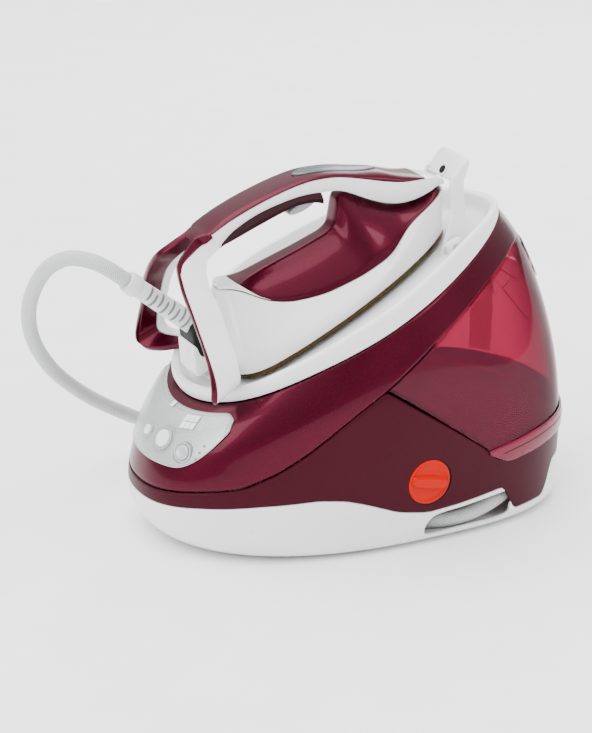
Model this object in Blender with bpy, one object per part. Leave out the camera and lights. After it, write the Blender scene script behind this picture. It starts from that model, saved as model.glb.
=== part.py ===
"""Steam generator iron: a base station with a removable water tank and a lift-off iron.

Units are metres, +Z is up. The control panel faces -Y, the water tank +Y, and the
calc collector +X. Each named object is one separate physical piece.
"""
import math

import bmesh
import bpy
import numpy as np
from mathutils import Matrix, Vector

GAP = 0.0003                 # clearance between neighbouring pieces
WALL = 0.0025                # moulded shell thickness
SIDES = 60                   # points round one ring of the body

# Plan shape of the body at six levels, from the belt line (0) to the tray rim (1).
LEVELS = (0.0, 0.25, 0.5, 0.75, 0.9, 1.0)
HALF_WIDTH = (0.132, 0.133, 0.131, 0.126, 0.120, 0.116)
FRONT_Y = (-0.208, -0.208, -0.201, -0.187, -0.173, -0.158)
REAR_Y = (0.208, 0.212, 0.210, 0.196, 0.179, 0.160)
WIDEST_Y = (0.030, 0.020, 0.008, -0.008, -0.016, -0.020)
FRONT_ROUND = (2.25, 2.2, 2.15, 2.1, 2.05, 2.0)
REAR_ROUND = (3.0, 2.8, 2.4, 2.0, 1.85, 1.75)
BELT_Z = 0.030

# Plan shape of the flat foot.
FOOT_Z = 0.003
FOOT_PLAN = (0.124, -0.172, 0.196, 0.030, 2.2, 3.0)

# The iron and its tray share one slope.
SLOPE = math.radians(22.6)
RIM_FRONT = (-0.158, 0.134)
# Along the rim, from the front (-90 degrees) past the side (0) to the rear (90): how far the cover's top edge
# rises over the flat rim plane, and how tall the white wall above it is.
RIM_TURN = (-90, -68, -54, -45, -35, -22, -10, 10, 26, 42, 60, 77, 90)
RIM_RISE = (0.0, 0.0006, 0.0020, 0.0038, 0.0065, 0.0092, 0.0101, 0.0103, 0.0112, 0.0122, 0.0112, 0.0086, 0.0076)
WALL_TURN = (-90, -62, -50, -39, -24, -10, 13, 28, 42, 60, 77, 90)
WALL_RISE = (0.0134, 0.0128, 0.0128, 0.0146, 0.0158, 0.0185, 0.0200, 0.0210, 0.0195, 0.0130, 0.0070, 0.0055)
IRON_ORIGIN = (0.0, -0.1542, 0.1424)

# Joint lines on the side of the body, as (y, z).
SEAM = ((-0.210, 0.047), (-0.180, 0.053), (-0.135, 0.058), (-0.085, 0.061), (-0.060, 0.058),
        (-0.039, 0.051), (-0.008, 0.038), (0.022, 0.032), (0.054, 0.034), (0.106, 0.040),
        (0.116, 0.014), (0.158, 0.015), (0.172, 0.045), (0.220, 0.047))
CREASE = ((-0.210, 0.059), (-0.181, 0.067), (-0.148, 0.074), (-0.119, 0.089), (-0.093, 0.106),
          (-0.065, 0.127), (-0.046, 0.140), (-0.019, 0.156))
TANK_TOP = ((-0.019, 0.156), (0.041, 0.194), (0.067, 0.208), (0.097, 0.225), (0.126, 0.237),
            (0.153, 0.246), (0.230, 0.250))
TANK_BOTTOM = ((-0.019, 0.156), (0.013, 0.134), (0.043, 0.112), (0.083, 0.082), (0.094, 0.070),
               (0.230, 0.0702))

# Calc collector, on the +X side.
COLLECTOR = (0.022, 0.063)
COLLECTOR_R = 0.0215

BURGUNDY = (0.26, 0.012, 0.045, 1)
DARK_BURGUNDY = (0.11, 0.006, 0.02, 1)
WHITE = (0.86, 0.86, 0.87, 1)
SILVER = (0.62, 0.63, 0.64, 1)
GREY = (0.45, 0.46, 0.47, 1)
BLACK = (0.015, 0.015, 0.017, 1)
ORANGE = (0.85, 0.09, 0.01, 1)
METAL = (0.55, 0.55, 0.56, 1)
BRONZE = (0.16, 0.12, 0.06, 1)
COPPER = (0.65, 0.33, 0.2, 1)
GREEN = (0.02, 0.18, 0.07, 1)


# ---------------------------------------------------------------- scene and materials

def clear_scene():
    for item in list(bpy.data.objects):
        bpy.data.objects.remove(item, do_unlink=True)


def new_collection(name):
    group = bpy.data.collections.new(name)
    bpy.context.scene.collection.children.link(group)
    return group


def material(name, colour, roughness=0.4, metallic=0.0):
    shade = bpy.data.materials.new(name)
    shade.use_nodes = True
    shader = shade.node_tree.nodes["Principled BSDF"]
    shader.inputs["Base Color"].default_value = colour
    shader.inputs["Roughness"].default_value = roughness
    shader.inputs["Metallic"].default_value = metallic
    return shade


def add_object(name, data, colour=WHITE, roughness=0.4, metallic=0.0, parent=None):
    item = bpy.data.objects.new(name, data)
    PARTS.objects.link(item)
    data.materials.append(material(name, colour, roughness, metallic))
    item.parent = parent or STATION
    return item


def add_empty(name, location, rotation=(0, 0, 0), parent=None):
    empty = bpy.data.objects.new(name, None)
    PARTS.objects.link(empty)
    empty.location = location
    empty.rotation_euler = rotation
    empty.parent = parent
    return empty


# ---------------------------------------------------------------- mesh helpers

def mesh_from_bmesh(name, bm):
    bmesh.ops.recalc_face_normals(bm, faces=bm.faces)
    mesh = bpy.data.meshes.new(name)
    bm.to_mesh(mesh)
    bm.free()
    return mesh


def loft_mesh(name, rings, ring_closed=False):
    """Skin a list of rings. A closed loop of rings makes a hollow band, else both ends are capped."""
    bm = bmesh.new()
    rows = [[bm.verts.new(point) for point in ring] for ring in rings]
    count = len(rows[0])
    pairs = list(zip(rows, rows[1:]))
    if ring_closed:
        pairs.append((rows[-1], rows[0]))
    for lower, upper in pairs:
        for i in range(count):
            j = (i + 1) % count
            bm.faces.new((lower[i], lower[j], upper[j], upper[i]))
    if not ring_closed:
        bm.faces.new(rows[0])
        bm.faces.new(rows[-1])
    return mesh_from_bmesh(name, bm)


def grid_shell_mesh(name, outer, inner):
    """A closed patch between an outer and an inner grid of points of the same size."""
    rows, columns = len(outer), len(outer[0])
    bm = bmesh.new()
    front = [[bm.verts.new(point) for point in row] for row in outer]
    back = [[bm.verts.new(point) for point in row] for row in inner]
    for r in range(rows - 1):
        for c in range(columns - 1):
            bm.faces.new((front[r][c], front[r][c + 1], front[r + 1][c + 1], front[r + 1][c]))
            bm.faces.new((back[r][c], back[r + 1][c], back[r + 1][c + 1], back[r][c + 1]))
    border = [(0, c) for c in range(columns)]
    border += [(r, columns - 1) for r in range(1, rows)]
    border += [(rows - 1, c) for c in range(columns - 2, -1, -1)]
    border += [(r, 0) for r in range(rows - 2, 0, -1)]
    for (r0, c0), (r1, c1) in zip(border, border[1:] + border[:1]):
        bm.faces.new((front[r0][c0], back[r0][c0], back[r1][c1], front[r1][c1]))
    return mesh_from_bmesh(name, bm)


def prism_mesh(name, outline, half_width, centre_x=0.0):
    """A (y, z) outline carried along X."""
    near = [(centre_x + half_width, y, z) for y, z in outline]
    far = [(centre_x - half_width, y, z) for y, z in outline]
    return loft_mesh(name, [far, near])


def box_mesh(name, low, high, bevel=0.0):
    bm = bmesh.new()
    bmesh.ops.create_cube(bm, size=1.0)
    size = [b - a for a, b in zip(low, high)]
    middle = [(a + b) / 2 for a, b in zip(low, high)]
    bmesh.ops.scale(bm, vec=size, verts=bm.verts)
    bmesh.ops.translate(bm, vec=middle, verts=bm.verts)
    if bevel:
        bmesh.ops.bevel(bm, geom=list(bm.edges), offset=bevel, segments=2, affect="EDGES")
    return mesh_from_bmesh(name, bm)


def rod_mesh(name, start, end, radius, end_radius=None, sides=20):
    """A straight round bar or cone from start to end."""
    start, end = Vector(start), Vector(end)
    axis = end - start
    bm = bmesh.new()
    bmesh.ops.create_cone(bm, cap_ends=True, segments=sides, radius1=radius,
                          radius2=radius if end_radius is None else end_radius, depth=axis.length)
    turn = Vector((0, 0, 1)).rotation_difference(axis.normalized()).to_matrix().to_4x4()
    bmesh.ops.transform(bm, matrix=Matrix.Translation((start + end) / 2) @ turn, verts=bm.verts)
    return mesh_from_bmesh(name, bm)


def turned_mesh(name, start, direction, profile, sides=24):
    """A solid of revolution: profile is (distance along the axis, radius)."""
    axis = Vector(direction).normalized()
    across = axis.orthogonal().normalized()
    other = axis.cross(across)
    rings = []
    for along, radius in profile:
        middle = Vector(start) + axis * along
        rings.append([middle + (across * math.cos(a) + other * math.sin(a)) * radius
                      for a in (2 * math.pi * k / sides for k in range(sides))])
    return loft_mesh(name, rings)


def carve(target, cutter_mesh, operation="DIFFERENCE"):
    """Cut, join or trim target with a hidden cutter that sits in the same frame."""
    cutter = bpy.data.objects.new("cutter_" + target.name, cutter_mesh)
    CUTTERS.objects.link(cutter)
    cutter.parent = target.parent
    cutter.hide_render = True
    cutter.display_type = "WIRE"
    step = target.modifiers.new(operation.lower(), "BOOLEAN")
    step.operation = operation
    step.object = cutter
    step.solver = "EXACT"
    return cutter


# ---------------------------------------------------------------- body surface

def smooth(value, places, values):
    """Cubic interpolation through (places, values)."""
    slopes = np.gradient(np.array(values, float), np.array(places, float))
    i = int(np.clip(np.searchsorted(places, value) - 1, 0, len(places) - 2))
    width = places[i + 1] - places[i]
    u = (value - places[i]) / width
    a = (2 * u ** 3 - 3 * u ** 2 + 1) * values[i] + (u ** 3 - 2 * u ** 2 + u) * width * slopes[i]
    b = (-2 * u ** 3 + 3 * u ** 2) * values[i + 1] + (u ** 3 - u ** 2) * width * slopes[i + 1]
    return float(a + b)


def line_height(y, line):
    return float(np.interp(y, [p[0] for p in line], [p[1] for p in line]))


def plan_point(angle, half_width, front, rear, middle, front_round, rear_round, inset=0.0):
    """A point of an egg-shaped outline, moved in by inset."""
    c, s = math.cos(angle), math.sin(angle)
    power = 2 / (front_round if s < 0 else rear_round)
    reach = (middle - front if s < 0 else rear - middle) - inset
    x = (half_width - inset) * math.copysign(abs(c) ** power, c)
    y = middle + reach * math.copysign(abs(s) ** power, s)
    return x, y


def level_plan(level):
    tables = (HALF_WIDTH, FRONT_Y, REAR_Y, WIDEST_Y, FRONT_ROUND, REAR_ROUND)
    return [smooth(max(level, 0.0), LEVELS, table) for table in tables]


def rim_height(y):
    return RIM_FRONT[1] + math.tan(SLOPE) * (y - RIM_FRONT[0])


def side_turn(angle):
    """The angle folded onto the +X half, in degrees from -90 (front) to 90 (rear)."""
    return math.degrees(math.asin(max(-1.0, min(1.0, math.sin(angle)))))


def rim_z(angle):
    return rim_height(plan_point(angle, *level_plan(1.0))[1]) + smooth(side_turn(angle), RIM_TURN, RIM_RISE)


def skin_point(angle, level, inset=0.0):
    x, y = plan_point(angle, *level_plan(level), inset)
    return x, y, BELT_Z + (rim_z(angle) - BELT_Z) * level


def skin_at_height(angle, height, inset=0.0):
    level = (height - BELT_Z) / (rim_z(angle) - BELT_Z)
    x, y = plan_point(angle, *level_plan(level), inset)
    return x, y, height


def ring_angles(sides=SIDES):
    return [2 * math.pi * (k + 0.5) / sides for k in range(sides)]


def seam_height(angle):
    return line_height(skin_point(angle, 0.1)[1], SEAM)


def side_cover_top(angle):
    """A little above the joint, where the side cover is then trimmed."""
    y = skin_point(angle, 0.5)[1]
    return min(line_height(y, CREASE + TANK_BOTTOM[1:]) + 0.012, rim_z(angle) - 0.006)


def upper_cover_foot(angle):
    """A little below the joint, where the upper cover is then trimmed."""
    y = skin_point(angle, 0.7)[1]
    return line_height(y, CREASE + TANK_TOP[1:]) - 0.012


def area_above(line, shift, top=0.4):
    """The (y, z) area between a joint line and a height."""
    outline = [(y, z + shift) for y, z in line]
    before = outline[0][0] - 0.05
    return [(before, outline[0][1])] + outline + [(outline[-1][0], top), (before, top)]


def area_below(line, shift):
    return area_above(line, shift, -0.1)


def skirt_mesh(name, low, high, outer, inner, rows=4):
    """A hollow band of the body skin between two heights given as functions of the angle."""
    rings = []
    for inset, steps in ((outer, range(rows + 1)), (inner, range(rows, -1, -1))):
        for step in steps:
            share = step / rows
            rings.append([skin_at_height(a, low(a) + (high(a) - low(a)) * share, inset)
                          for a in ring_angles()])
    return loft_mesh(name, rings, ring_closed=True)


def form_mesh(name, inset, levels=(-0.05, 0.2, 0.4, 0.6, 0.8, 0.98)):
    return loft_mesh(name, [[skin_point(a, level, inset) for a in ring_angles()] for level in levels])


def patch_mesh(name, first, last, low, high, outer, inner, columns=16, rows=3):
    """A plate that follows the skin between two angles and two level functions."""
    def grid(inset):
        lines = []
        for r in range(rows + 1):
            line = []
            for c in range(columns + 1):
                angle = first + (last - first) * c / columns
                level = low(angle) + (high(angle) - low(angle)) * r / rows
                line.append(skin_point(angle, level, inset))
            lines.append(line)
        return lines
    return grid_shell_mesh(name, grid(outer), grid(inner))


# ---------------------------------------------------------------- base station

def pan_ring(angle, share, inset):
    """The boat-shaped underside: a quarter round from the foot up to the skin."""
    x0, y0 = plan_point(angle, *FOOT_PLAN, inset)
    x1, y1 = plan_point(angle, *level_plan(0.0), inset)
    top = 0.014 + 0.028 * max(0.0, -math.sin(angle)) ** 3
    out, up = math.sin(share * math.pi / 2), 1 - math.cos(share * math.pi / 2)
    return x0 + (x1 - x0) * out, y0 + (y1 - y0) * out, FOOT_Z + (top - FOOT_Z) * up + inset * (1 - up)


def make_base_pan():
    shares = (0.0, 0.4, 0.75, 1.0)
    rings = [[pan_ring(a, share, 0.0) for a in ring_angles()] for share in shares]
    rings.append([skin_at_height(a, seam_height(a), 0.0) for a in ring_angles()])
    rings.append([skin_at_height(a, seam_height(a), WALL) for a in ring_angles()])
    rings += [[pan_ring(a, share, WALL) for a in ring_angles()] for share in reversed(shares)]
    pan = add_object("base_pan", loft_mesh("base_pan", rings), WHITE, 0.35)
    slot = ((0.018, 0.0105), (0.112, 0.0105), (0.112, 0.036), (0.024, 0.0275))
    carve(pan, prism_mesh("near_slot", slot, 0.02, 0.125))
    carve(pan, prism_mesh("far_slot", slot, 0.02, -0.125))
    inlet = box_mesh("inlet_hole", (-0.062, 0.19, 0.0165), (-0.034, 0.22, 0.0335))
    carve(pan, inlet)


def make_feet():
    for number, (x, y) in enumerate(((0.075, -0.11), (-0.075, -0.11), (0.085, 0.15), (-0.085, 0.15)), 1):
        foot = rod_mesh("foot", (x, y, 0.0), (x, y, FOOT_Z - GAP), 0.009)
        add_object(f"foot_{number}", foot, BLACK, 0.8)


def make_covers():
    lower = skirt_mesh("side_cover", lambda a: seam_height(a) + GAP, side_cover_top, 0.0, WALL)
    side = add_object("side_cover", lower, DARK_BURGUNDY, 0.3)
    carve(side, prism_mesh("above_joint", area_above(CREASE + TANK_BOTTOM[1:], -0.0002), 0.2))
    y, z = COLLECTOR
    carve(side, rod_mesh("collector_hole", (0.10, y, z), (0.15, y, z), COLLECTOR_R + 0.0015, sides=28))
    upper = skirt_mesh("upper_cover", upper_cover_foot, lambda a: rim_z(a) - 0.0008, 0.0, WALL)
    upper = add_object("upper_cover", upper, BURGUNDY, 0.25)
    carve(upper, prism_mesh("below_joint", area_below(CREASE + TANK_TOP[1:], 0.0002), 0.2))
    return upper


def tray_ring(angle, inset, rise, share, lift):
    """A ring round the tray: inset and rise are measured from the rim plane, rise along its normal.

    share follows the swell of the rim, and lift is the part of the wall's height."""
    x, y = plan_point(angle, *level_plan(1.0), inset)
    turn = side_turn(angle)
    rise += lift * smooth(turn, WALL_TURN, WALL_RISE)
    z = rim_height(y) + share * smooth(turn, RIM_TURN, RIM_RISE)
    return x, y - rise * math.sin(SLOPE), z + rise * math.cos(SLOPE)


def make_tray():
    section = ((0.0135, 0.0010, 0, 0), (0.0035, 0.0008, 1, 0), (0.0008, 0.0008, 1, 0), (-0.0012, 0.0008, 1, 0.35),
               (-0.0014, 0.0008, 1, 0.75), (0.0004, 0.0008, 1, 0.95), (0.0032, 0.0008, 1, 1.0),
               (0.0060, 0.0008, 1, 0.94), (0.0095, 0.0020, 0.45, 0.40), (0.0125, 0.0040, 0, 0), (0.0170, 0.0032, 0, 0))
    rings = [[tray_ring(a, *place) for a in ring_angles()] for place in section]
    add_object("iron_rest", loft_mesh("iron_rest", rings), WHITE, 0.35)
    plateau = box_mesh("plateau", (-0.034, 0.0150, -0.0027), (0.034, 0.0280, 0.0060), 0.0015)
    add_object("rest_plateau", plateau, WHITE, 0.35, parent=IRON_FRAME)
    for side, sign in (("right", 1), ("left", -1)):
        pad = box_mesh("pad", (-0.012, 0.0, -0.0026), (0.012, 0.026, -GAP), 0.0006)
        item = add_object(f"rest_pad_{side}", pad, BLACK, 0.8, parent=IRON_FRAME)
        item.location = (sign * 0.036, 0.062, 0)
    nose = box_mesh("nose_pad", (-0.010, 0.225, -0.0026), (0.010, 0.250, -GAP), 0.0006)
    add_object("rest_pad_nose", nose, BLACK, 0.8, parent=IRON_FRAME)


def panel_low(angle):
    spread = abs(math.degrees(angle) + 90)
    return 0.515 + 0.285 * max(0.0, (spread - 18) / 19) ** 1.9


def panel_high(angle):
    spread = abs(math.degrees(angle) + 90)
    return 0.945 - 0.015 * (spread / 37) ** 2 - 0.055 * max(0.0, (spread - 31) / 6) ** 2


def button_frame(angle_deg, level):
    """Centre and outward direction of a button on the control panel."""
    angle = math.radians(angle_deg)
    centre = Vector(skin_point(angle, level))
    along = Vector(skin_point(angle + 0.02, level)) - centre
    up = Vector(skin_point(angle, level + 0.02)) - centre
    return centre, along.cross(up).normalized()


def make_panel(cover):
    first, last = math.radians(-127), math.radians(-53)
    panel = patch_mesh("panel", first, last, panel_low, panel_high, -0.0026, -0.0010, 20, 4)
    fascia = add_object("control_panel", panel, SILVER, 0.3, 0.5)
    window = patch_mesh("window", math.radians(-79), math.radians(-65), lambda a: 0.80, lambda a: 0.905,
                        -0.0036, -0.0030, 8, 2)
    add_object("display_window", window, WHITE, 0.1)
    buttons = (("steam_button", -81, 0.70, 0.0085), ("eco_button", -92, 0.69, 0.0052),
               ("power_button", -69, 0.64, 0.0072))
    for name, angle, level, radius in buttons:
        centre, out = button_frame(angle, level)
        hole = rod_mesh("hole", centre - out * 0.012, centre + out * 0.008, radius + 0.0005, sides=20)
        carve(fascia, hole)
        carve(cover, hole)
        shape = turned_mesh(name, centre - out * 0.002, out,
                            ((0.0, radius), (0.0044, radius), (0.0052, radius * 0.8)), 20)
        add_object(name, shape, WHITE if name != "power_button" else SILVER, 0.3)
    board_centre, out = button_frame(-82, 0.72)
    turn = Vector((0, 0, 1)).rotation_difference(out).to_euler()
    frame = add_empty("board_frame", board_centre - out * 0.022, turn, STATION)
    board = box_mesh("board", (-0.040, -0.016, -0.0008), (0.034, 0.016, 0.0008))
    add_object("control_board", board, GREEN, 0.5, parent=frame)


def tank_wedge(margin):
    """The tank's side outline, moved in by margin."""
    slant = math.atan2(0.194 - 0.156, 0.041 + 0.019)
    fall = math.atan2(0.156 - 0.082, 0.083 + 0.019)
    tip = margin / math.sin((slant + fall) / 2)
    top = [(y + margin * math.sin(slant), z - margin / math.cos(slant) * 0.9) for y, z in TANK_TOP[1:]]
    bottom = [(y + margin * 0.3, z + margin * 1.15) for y, z in TANK_BOTTOM[3:]]
    return [(TANK_TOP[0][0] + tip, TANK_TOP[0][1])] + bottom + list(reversed(top))


def make_tank():
    tank = add_object("water_tank", form_mesh("water_tank", 0.0), BURGUNDY, 0.1)
    carve(tank, prism_mesh("wedge", tank_wedge(0.0012), 0.2), "INTERSECT")
    hollow = add_object("tank_hollow", form_mesh("tank_hollow", 0.0024, (0.02, 0.2, 0.4, 0.6, 0.8, 0.96)))
    carve(hollow, prism_mesh("wedge_in", tank_wedge(0.0040), 0.2), "INTERSECT")
    PARTS.objects.unlink(hollow)
    CUTTERS.objects.link(hollow)
    hollow.hide_render = True
    hollow.display_type = "WIRE"
    step = tank.modifiers.new("hollow", "BOOLEAN")
    step.operation = "DIFFERENCE"
    step.object = hollow
    carve(tank, box_mesh("fill_hole", (-0.024, 0.15, 0.205), (0.024, 0.25, 0.228)))
    flap_low, flap_high = 0.725, 0.865
    flap = patch_mesh("flap", math.radians(73), math.radians(107), lambda a: flap_low, lambda a: flap_high,
                      -0.0022, -GAP, 6, 2)
    add_object("tank_flap", flap, BURGUNDY, 0.15)
    lip = skirt_patch("tank_lip", 14, 166, 0.0735, 0.089, -0.0024, -0.0007)
    add_object("tank_lip", lip, BURGUNDY, 0.15)
    grip = skirt_patch("tank_grip", 84, 96, 0.050, 0.092, -0.0064, -0.0030, 4)
    add_object("tank_grip", grip, DARK_BURGUNDY, 0.3)


def skirt_patch(name, first, last, low, high, outer, inner, columns=24):
    """A plate that follows the skin between two angles and two fixed heights."""
    def grid(inset):
        return [[skin_at_height(math.radians(first + (last - first) * c / columns), z, inset)
                 for c in range(columns + 1)] for z in (low, (low + high) / 2, high)]
    return grid_shell_mesh(name, grid(outer), grid(inner))


def make_tank_deck():
    top = [(-0.030, 0.1630), (-0.019, 0.1548), (0.081, 0.0805), (0.092, 0.0690), (0.195, 0.0708)]
    outline = [(y, z - 0.0012) for y, z in top] + [(y, z - 0.0040) for y, z in reversed(top)]
    deck = add_object("tank_deck", prism_mesh("tank_deck", outline, 0.2), DARK_BURGUNDY, 0.5)
    carve(deck, form_mesh("deck_trim", WALL + 0.001), "INTERSECT")
    coupler = turned_mesh("coupler", (0.0, 0.135, 0.0655), (0, 0, -1),
                          ((0.0, 0.008), (0.006, 0.008), (0.006, 0.0045), (0.016, 0.0045)), 16)
    add_object("tank_coupler", coupler, BLACK, 0.5)


def make_collector():
    y, z = COLLECTOR
    socket = turned_mesh("socket", (0.1255, y, z), (-1, 0, 0), ((0.0, 0.0225), (0.003, 0.0225)), 24)
    ring = add_object("collector_socket", socket, BLACK, 0.5)
    carve(ring, rod_mesh("socket_bore", (0.10, y, z), (0.14, y, z), 0.0085, sides=20))
    cap = turned_mesh("cap", (0.1258, y, z), (1, 0, 0),
                      ((0.0, COLLECTOR_R), (0.0060, COLLECTOR_R), (0.0072, COLLECTOR_R - 0.0015)), 28)
    cap = add_object("collector_cap", cap, ORANGE, 0.35)
    bar = box_mesh("bar", (0.1310, y - 0.0208, z - 0.0045), (0.1362, y + 0.0208, z + 0.0045))
    turn_about_x(bar, (0, y, z), math.radians(-12))
    carve(cap, bar, "UNION")
    carve(cap, rod_mesh("cap_bore", (0.120, y, z), (0.1305, y, z), 0.0045, sides=20))
    rod = turned_mesh("rod", (0.1295, y, z), (-1, 0, 0),
                      ((0.0, 0.0040), (0.0240, 0.0040), (0.0240, 0.0070), (0.0720, 0.0070),
                       (0.0760, 0.0050)), 20)
    add_object("collector_rod", rod, METAL, 0.3, 0.9)
    seal = turned_mesh("seal", (0.1062 + 0.0003, y, z), (1, 0, 0), ((0.0, 0.0066), (0.004, 0.0066)), 20)
    seal = add_object("collector_seal", seal, BLACK, 0.7)
    carve(seal, rod_mesh("seal_bore", (0.09, y, z), (0.13, y, z), 0.0043, sides=20))


def turn_about_x(mesh, centre, angle):
    turn = Matrix.Translation(centre) @ Matrix.Rotation(angle, 4, "X") @ Matrix.Translation(-Vector(centre))
    mesh.transform(turn)


def make_boiler():
    profile = ((0.0, 0.020), (0.005, 0.034), (0.014, 0.0385), (0.118, 0.0385), (0.127, 0.034), (0.132, 0.020))
    boiler = add_object("boiler", turned_mesh("boiler", (-0.066, -0.004, 0.076), (1, 0, 0), profile, 28),
                        METAL, 0.35, 0.9)
    hollow = ((0.002, 0.018), (0.006, 0.0315), (0.015, 0.0363), (0.117, 0.0363), (0.126, 0.0315), (0.130, 0.018))
    carve(boiler, turned_mesh("boiler_space", (-0.066, -0.004, 0.076), (1, 0, 0), hollow, 28))
    y, z = COLLECTOR
    carve(boiler, rod_mesh("boiler_bore", (0.045, y, z), (0.09, y, z), 0.0080, sides=20))
    heater = rod_mesh("heater", (-0.098, -0.004, 0.076), (-0.0665, -0.004, 0.076), 0.012)
    add_object("heating_element", heater, COPPER, 0.3, 0.9)
    valve = box_mesh("valve", (-0.014, -0.020, 0.1150), (0.014, 0.004, 0.1270), 0.002)
    add_object("steam_valve", valve, BLACK, 0.5)
    pump = turned_mesh("pump", (-0.060, -0.120, 0.052), (1, 0, 0),
                       ((0.0, 0.010), (0.002, 0.0145), (0.055, 0.0145), (0.056, 0.007), (0.070, 0.007)), 20)
    add_object("water_pump", pump, METAL, 0.4, 0.6)


def make_inlet():
    inlet = box_mesh("inlet", (-0.0615, 0.192, 0.0170), (-0.0345, 0.2095, 0.0330), 0.0015)
    inlet = add_object("mains_inlet", inlet, BLACK, 0.5)
    carve(inlet, box_mesh("socket", (-0.0575, 0.200, 0.0200), (-0.0385, 0.215, 0.0300)))


# ---------------------------------------------------------------- lock bail on the tray

BAIL_PIVOT = (0.272, 0.003)
BAIL_PATH = ((0.266, -0.003, 0.0335, 0.014), (0.2715, 0.003, 0.0335, 0.0165), (0.2790, 0.009, 0.0328, 0.0190),
             (0.2888, 0.0205, 0.0300, 0.0172), (0.2965, 0.0325, 0.0265, 0.0148), (0.3030, 0.0480, 0.0240, 0.0155),
             (0.3095, 0.0570, 0.0230, 0.0150))


def make_bail():
    """Two arms on stub pins, joined by a cross bar with a thumb tab above the iron's nose."""
    half = 0.002
    near_rings = []
    for y, z, x, width in BAIL_PATH:
        near_rings.append([(x - half, y - width / 2, z), (x + half, y - width / 2, z),
                        (x + half, y + width / 2, z), (x - half, y + width / 2, z)])
    bail = add_object("lock_bail", loft_mesh("lock_bail", near_rings), WHITE, 0.35, parent=IRON_FRAME)
    far_arm = loft_mesh("far_arm", [[(-x, y, z) for x, y, z in ring] for ring in near_rings])
    bar_outline = ((0.3000, 0.0530), (0.3040, 0.0490), (0.3125, 0.0480), (0.3185, 0.0560), (0.3240, 0.0635),
                   (0.3215, 0.0665), (0.3190, 0.0660))
    bar = prism_mesh("bar", bar_outline, 0.0240)
    carve(bail, bar, "UNION")
    carve(bail, far_arm, "UNION")
    for sign, side in ((1, "right"), (-1, "left")):
        y, z = BAIL_PIVOT
        hole = rod_mesh("eye", (sign * 0.028, y, z), (sign * 0.040, y, z), 0.0033, sides=16)
        carve(bail, hole)
        pin = rod_mesh("pin", (sign * 0.0318, y, z), (sign * 0.0480, y, z), 0.0030, sides=16)
        add_object(f"bail_pin_{side}", pin, METAL, 0.3, 0.9, parent=IRON_FRAME)
        block = box_mesh("block", (-0.004, -0.008, 0.0), (0.004, 0.008, 0.0105), 0.001)
        block.transform(Matrix.Translation((sign * 0.0422, y, -0.0015)))
        block = add_object(f"bail_bearing_{side}", block, WHITE, 0.4, parent=IRON_FRAME)
        carve(block, rod_mesh("bore", (sign * 0.035, y, z), (sign * 0.055, y, z), 0.0032, sides=16))


# ---------------------------------------------------------------- iron

SOLE_PLAN = (0.0605, 0.284, 0.030, 0.090, 1.7, 3.5)


def sole_point(angle, z, inset=0.0):
    """The iron's outline in its own frame: nose towards +Y, heel towards -Y."""
    half_width, nose, heel, middle, nose_round, heel_round = SOLE_PLAN
    x, y = plan_point(-angle, half_width, -nose, -heel, -middle, nose_round, heel_round, inset)
    return x, -y, z


def make_soleplate():
    rings = [[sole_point(a, z, inset) for a in ring_angles(40)]
             for z, inset in ((0.0, 0.0015), (0.0015, 0.0), (0.0058, 0.0))]
    add_object("soleplate", loft_mesh("soleplate", rings), BRONZE, 0.25, 0.8, parent=IRON_FRAME)
    chamber = [[sole_point(a, z, inset) for a in ring_angles(40)]
               for z, inset in ((0.0061, 0.010), (0.0150, 0.010), (0.0180, 0.014))]
    add_object("steam_chamber", loft_mesh("steam_chamber", chamber), METAL, 0.5, 0.8, parent=IRON_FRAME)


SKIRT_TOP = ((0.055, 0.0715), (0.066, 0.0712), (0.073, 0.0685), (0.078, 0.0610), (0.086, 0.0520), (0.096, 0.0450),
             (0.108, 0.0386), (0.137, 0.0305), (0.155, 0.0280), (0.181, 0.0255), (0.212, 0.0262), (0.224, 0.0310),
             (0.235, 0.0380), (0.250, 0.0418), (0.300, 0.0430))
SKIRT_PLAN = (0.042, 0.2975, 0.058, 0.150, 2.0, 2.0)


def skirt_ring(angle, share, inset):
    """The iron's white housing: from the sole outline up to the edge of the burgundy saddle."""
    x0, y0, _ = sole_point(angle, 0.0, inset - 0.001)
    half_width, nose, heel, middle, nose_round, heel_round = SKIRT_PLAN
    x1, y1 = plan_point(-angle, half_width, -nose, -heel, -middle, nose_round, heel_round, inset)
    y1 = -y1
    top = line_height(y1, SKIRT_TOP)
    bulge = 0.006 * math.sin(math.pi * share)
    x = x0 + (x1 - x0) * share ** 1.4
    y = y0 + (y1 - y0) * share ** 1.2
    return x + math.copysign(bulge, x) * abs(math.cos(angle)), y, 0.0063 + (top - 0.0063) * share


def make_skirt():
    shares = (0.0, 0.25, 0.5, 0.75, 1.0)
    rings = [[skirt_ring(a, s, 0.0) for a in ring_angles(40)] for s in shares]
    rings += [[skirt_ring(a, s, 0.0022) for a in ring_angles(40)] for s in reversed(shares)]
    add_object("iron_skirt", loft_mesh("iron_skirt", rings, True), WHITE, 0.3, parent=IRON_FRAME)


RIDGE = ((0.062, 0.0700), (0.075, 0.0715), (0.085, 0.0690), (0.110, 0.0682), (0.145, 0.0662), (0.176, 0.0655),
         (0.187, 0.0720), (0.1915, 0.0880), (0.2005, 0.0955), (0.225, 0.0710), (0.241, 0.0560), (0.261, 0.0490),
         (0.294, 0.0480))
SADDLE_Y = (0.0745, 0.078, 0.084, 0.092, 0.105, 0.120, 0.140, 0.160, 0.174, 0.182, 0.187, 0.1915, 0.200, 0.210,
            0.220, 0.230, 0.242, 0.256, 0.275, 0.289)


def saddle_half_width(y):
    half_width, nose, heel, middle = SKIRT_PLAN[:4]
    reach = nose - middle if y > middle else middle - heel
    share = min(1.0, abs(y - middle) / reach)
    return half_width * math.sqrt(1 - share ** 2)


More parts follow.
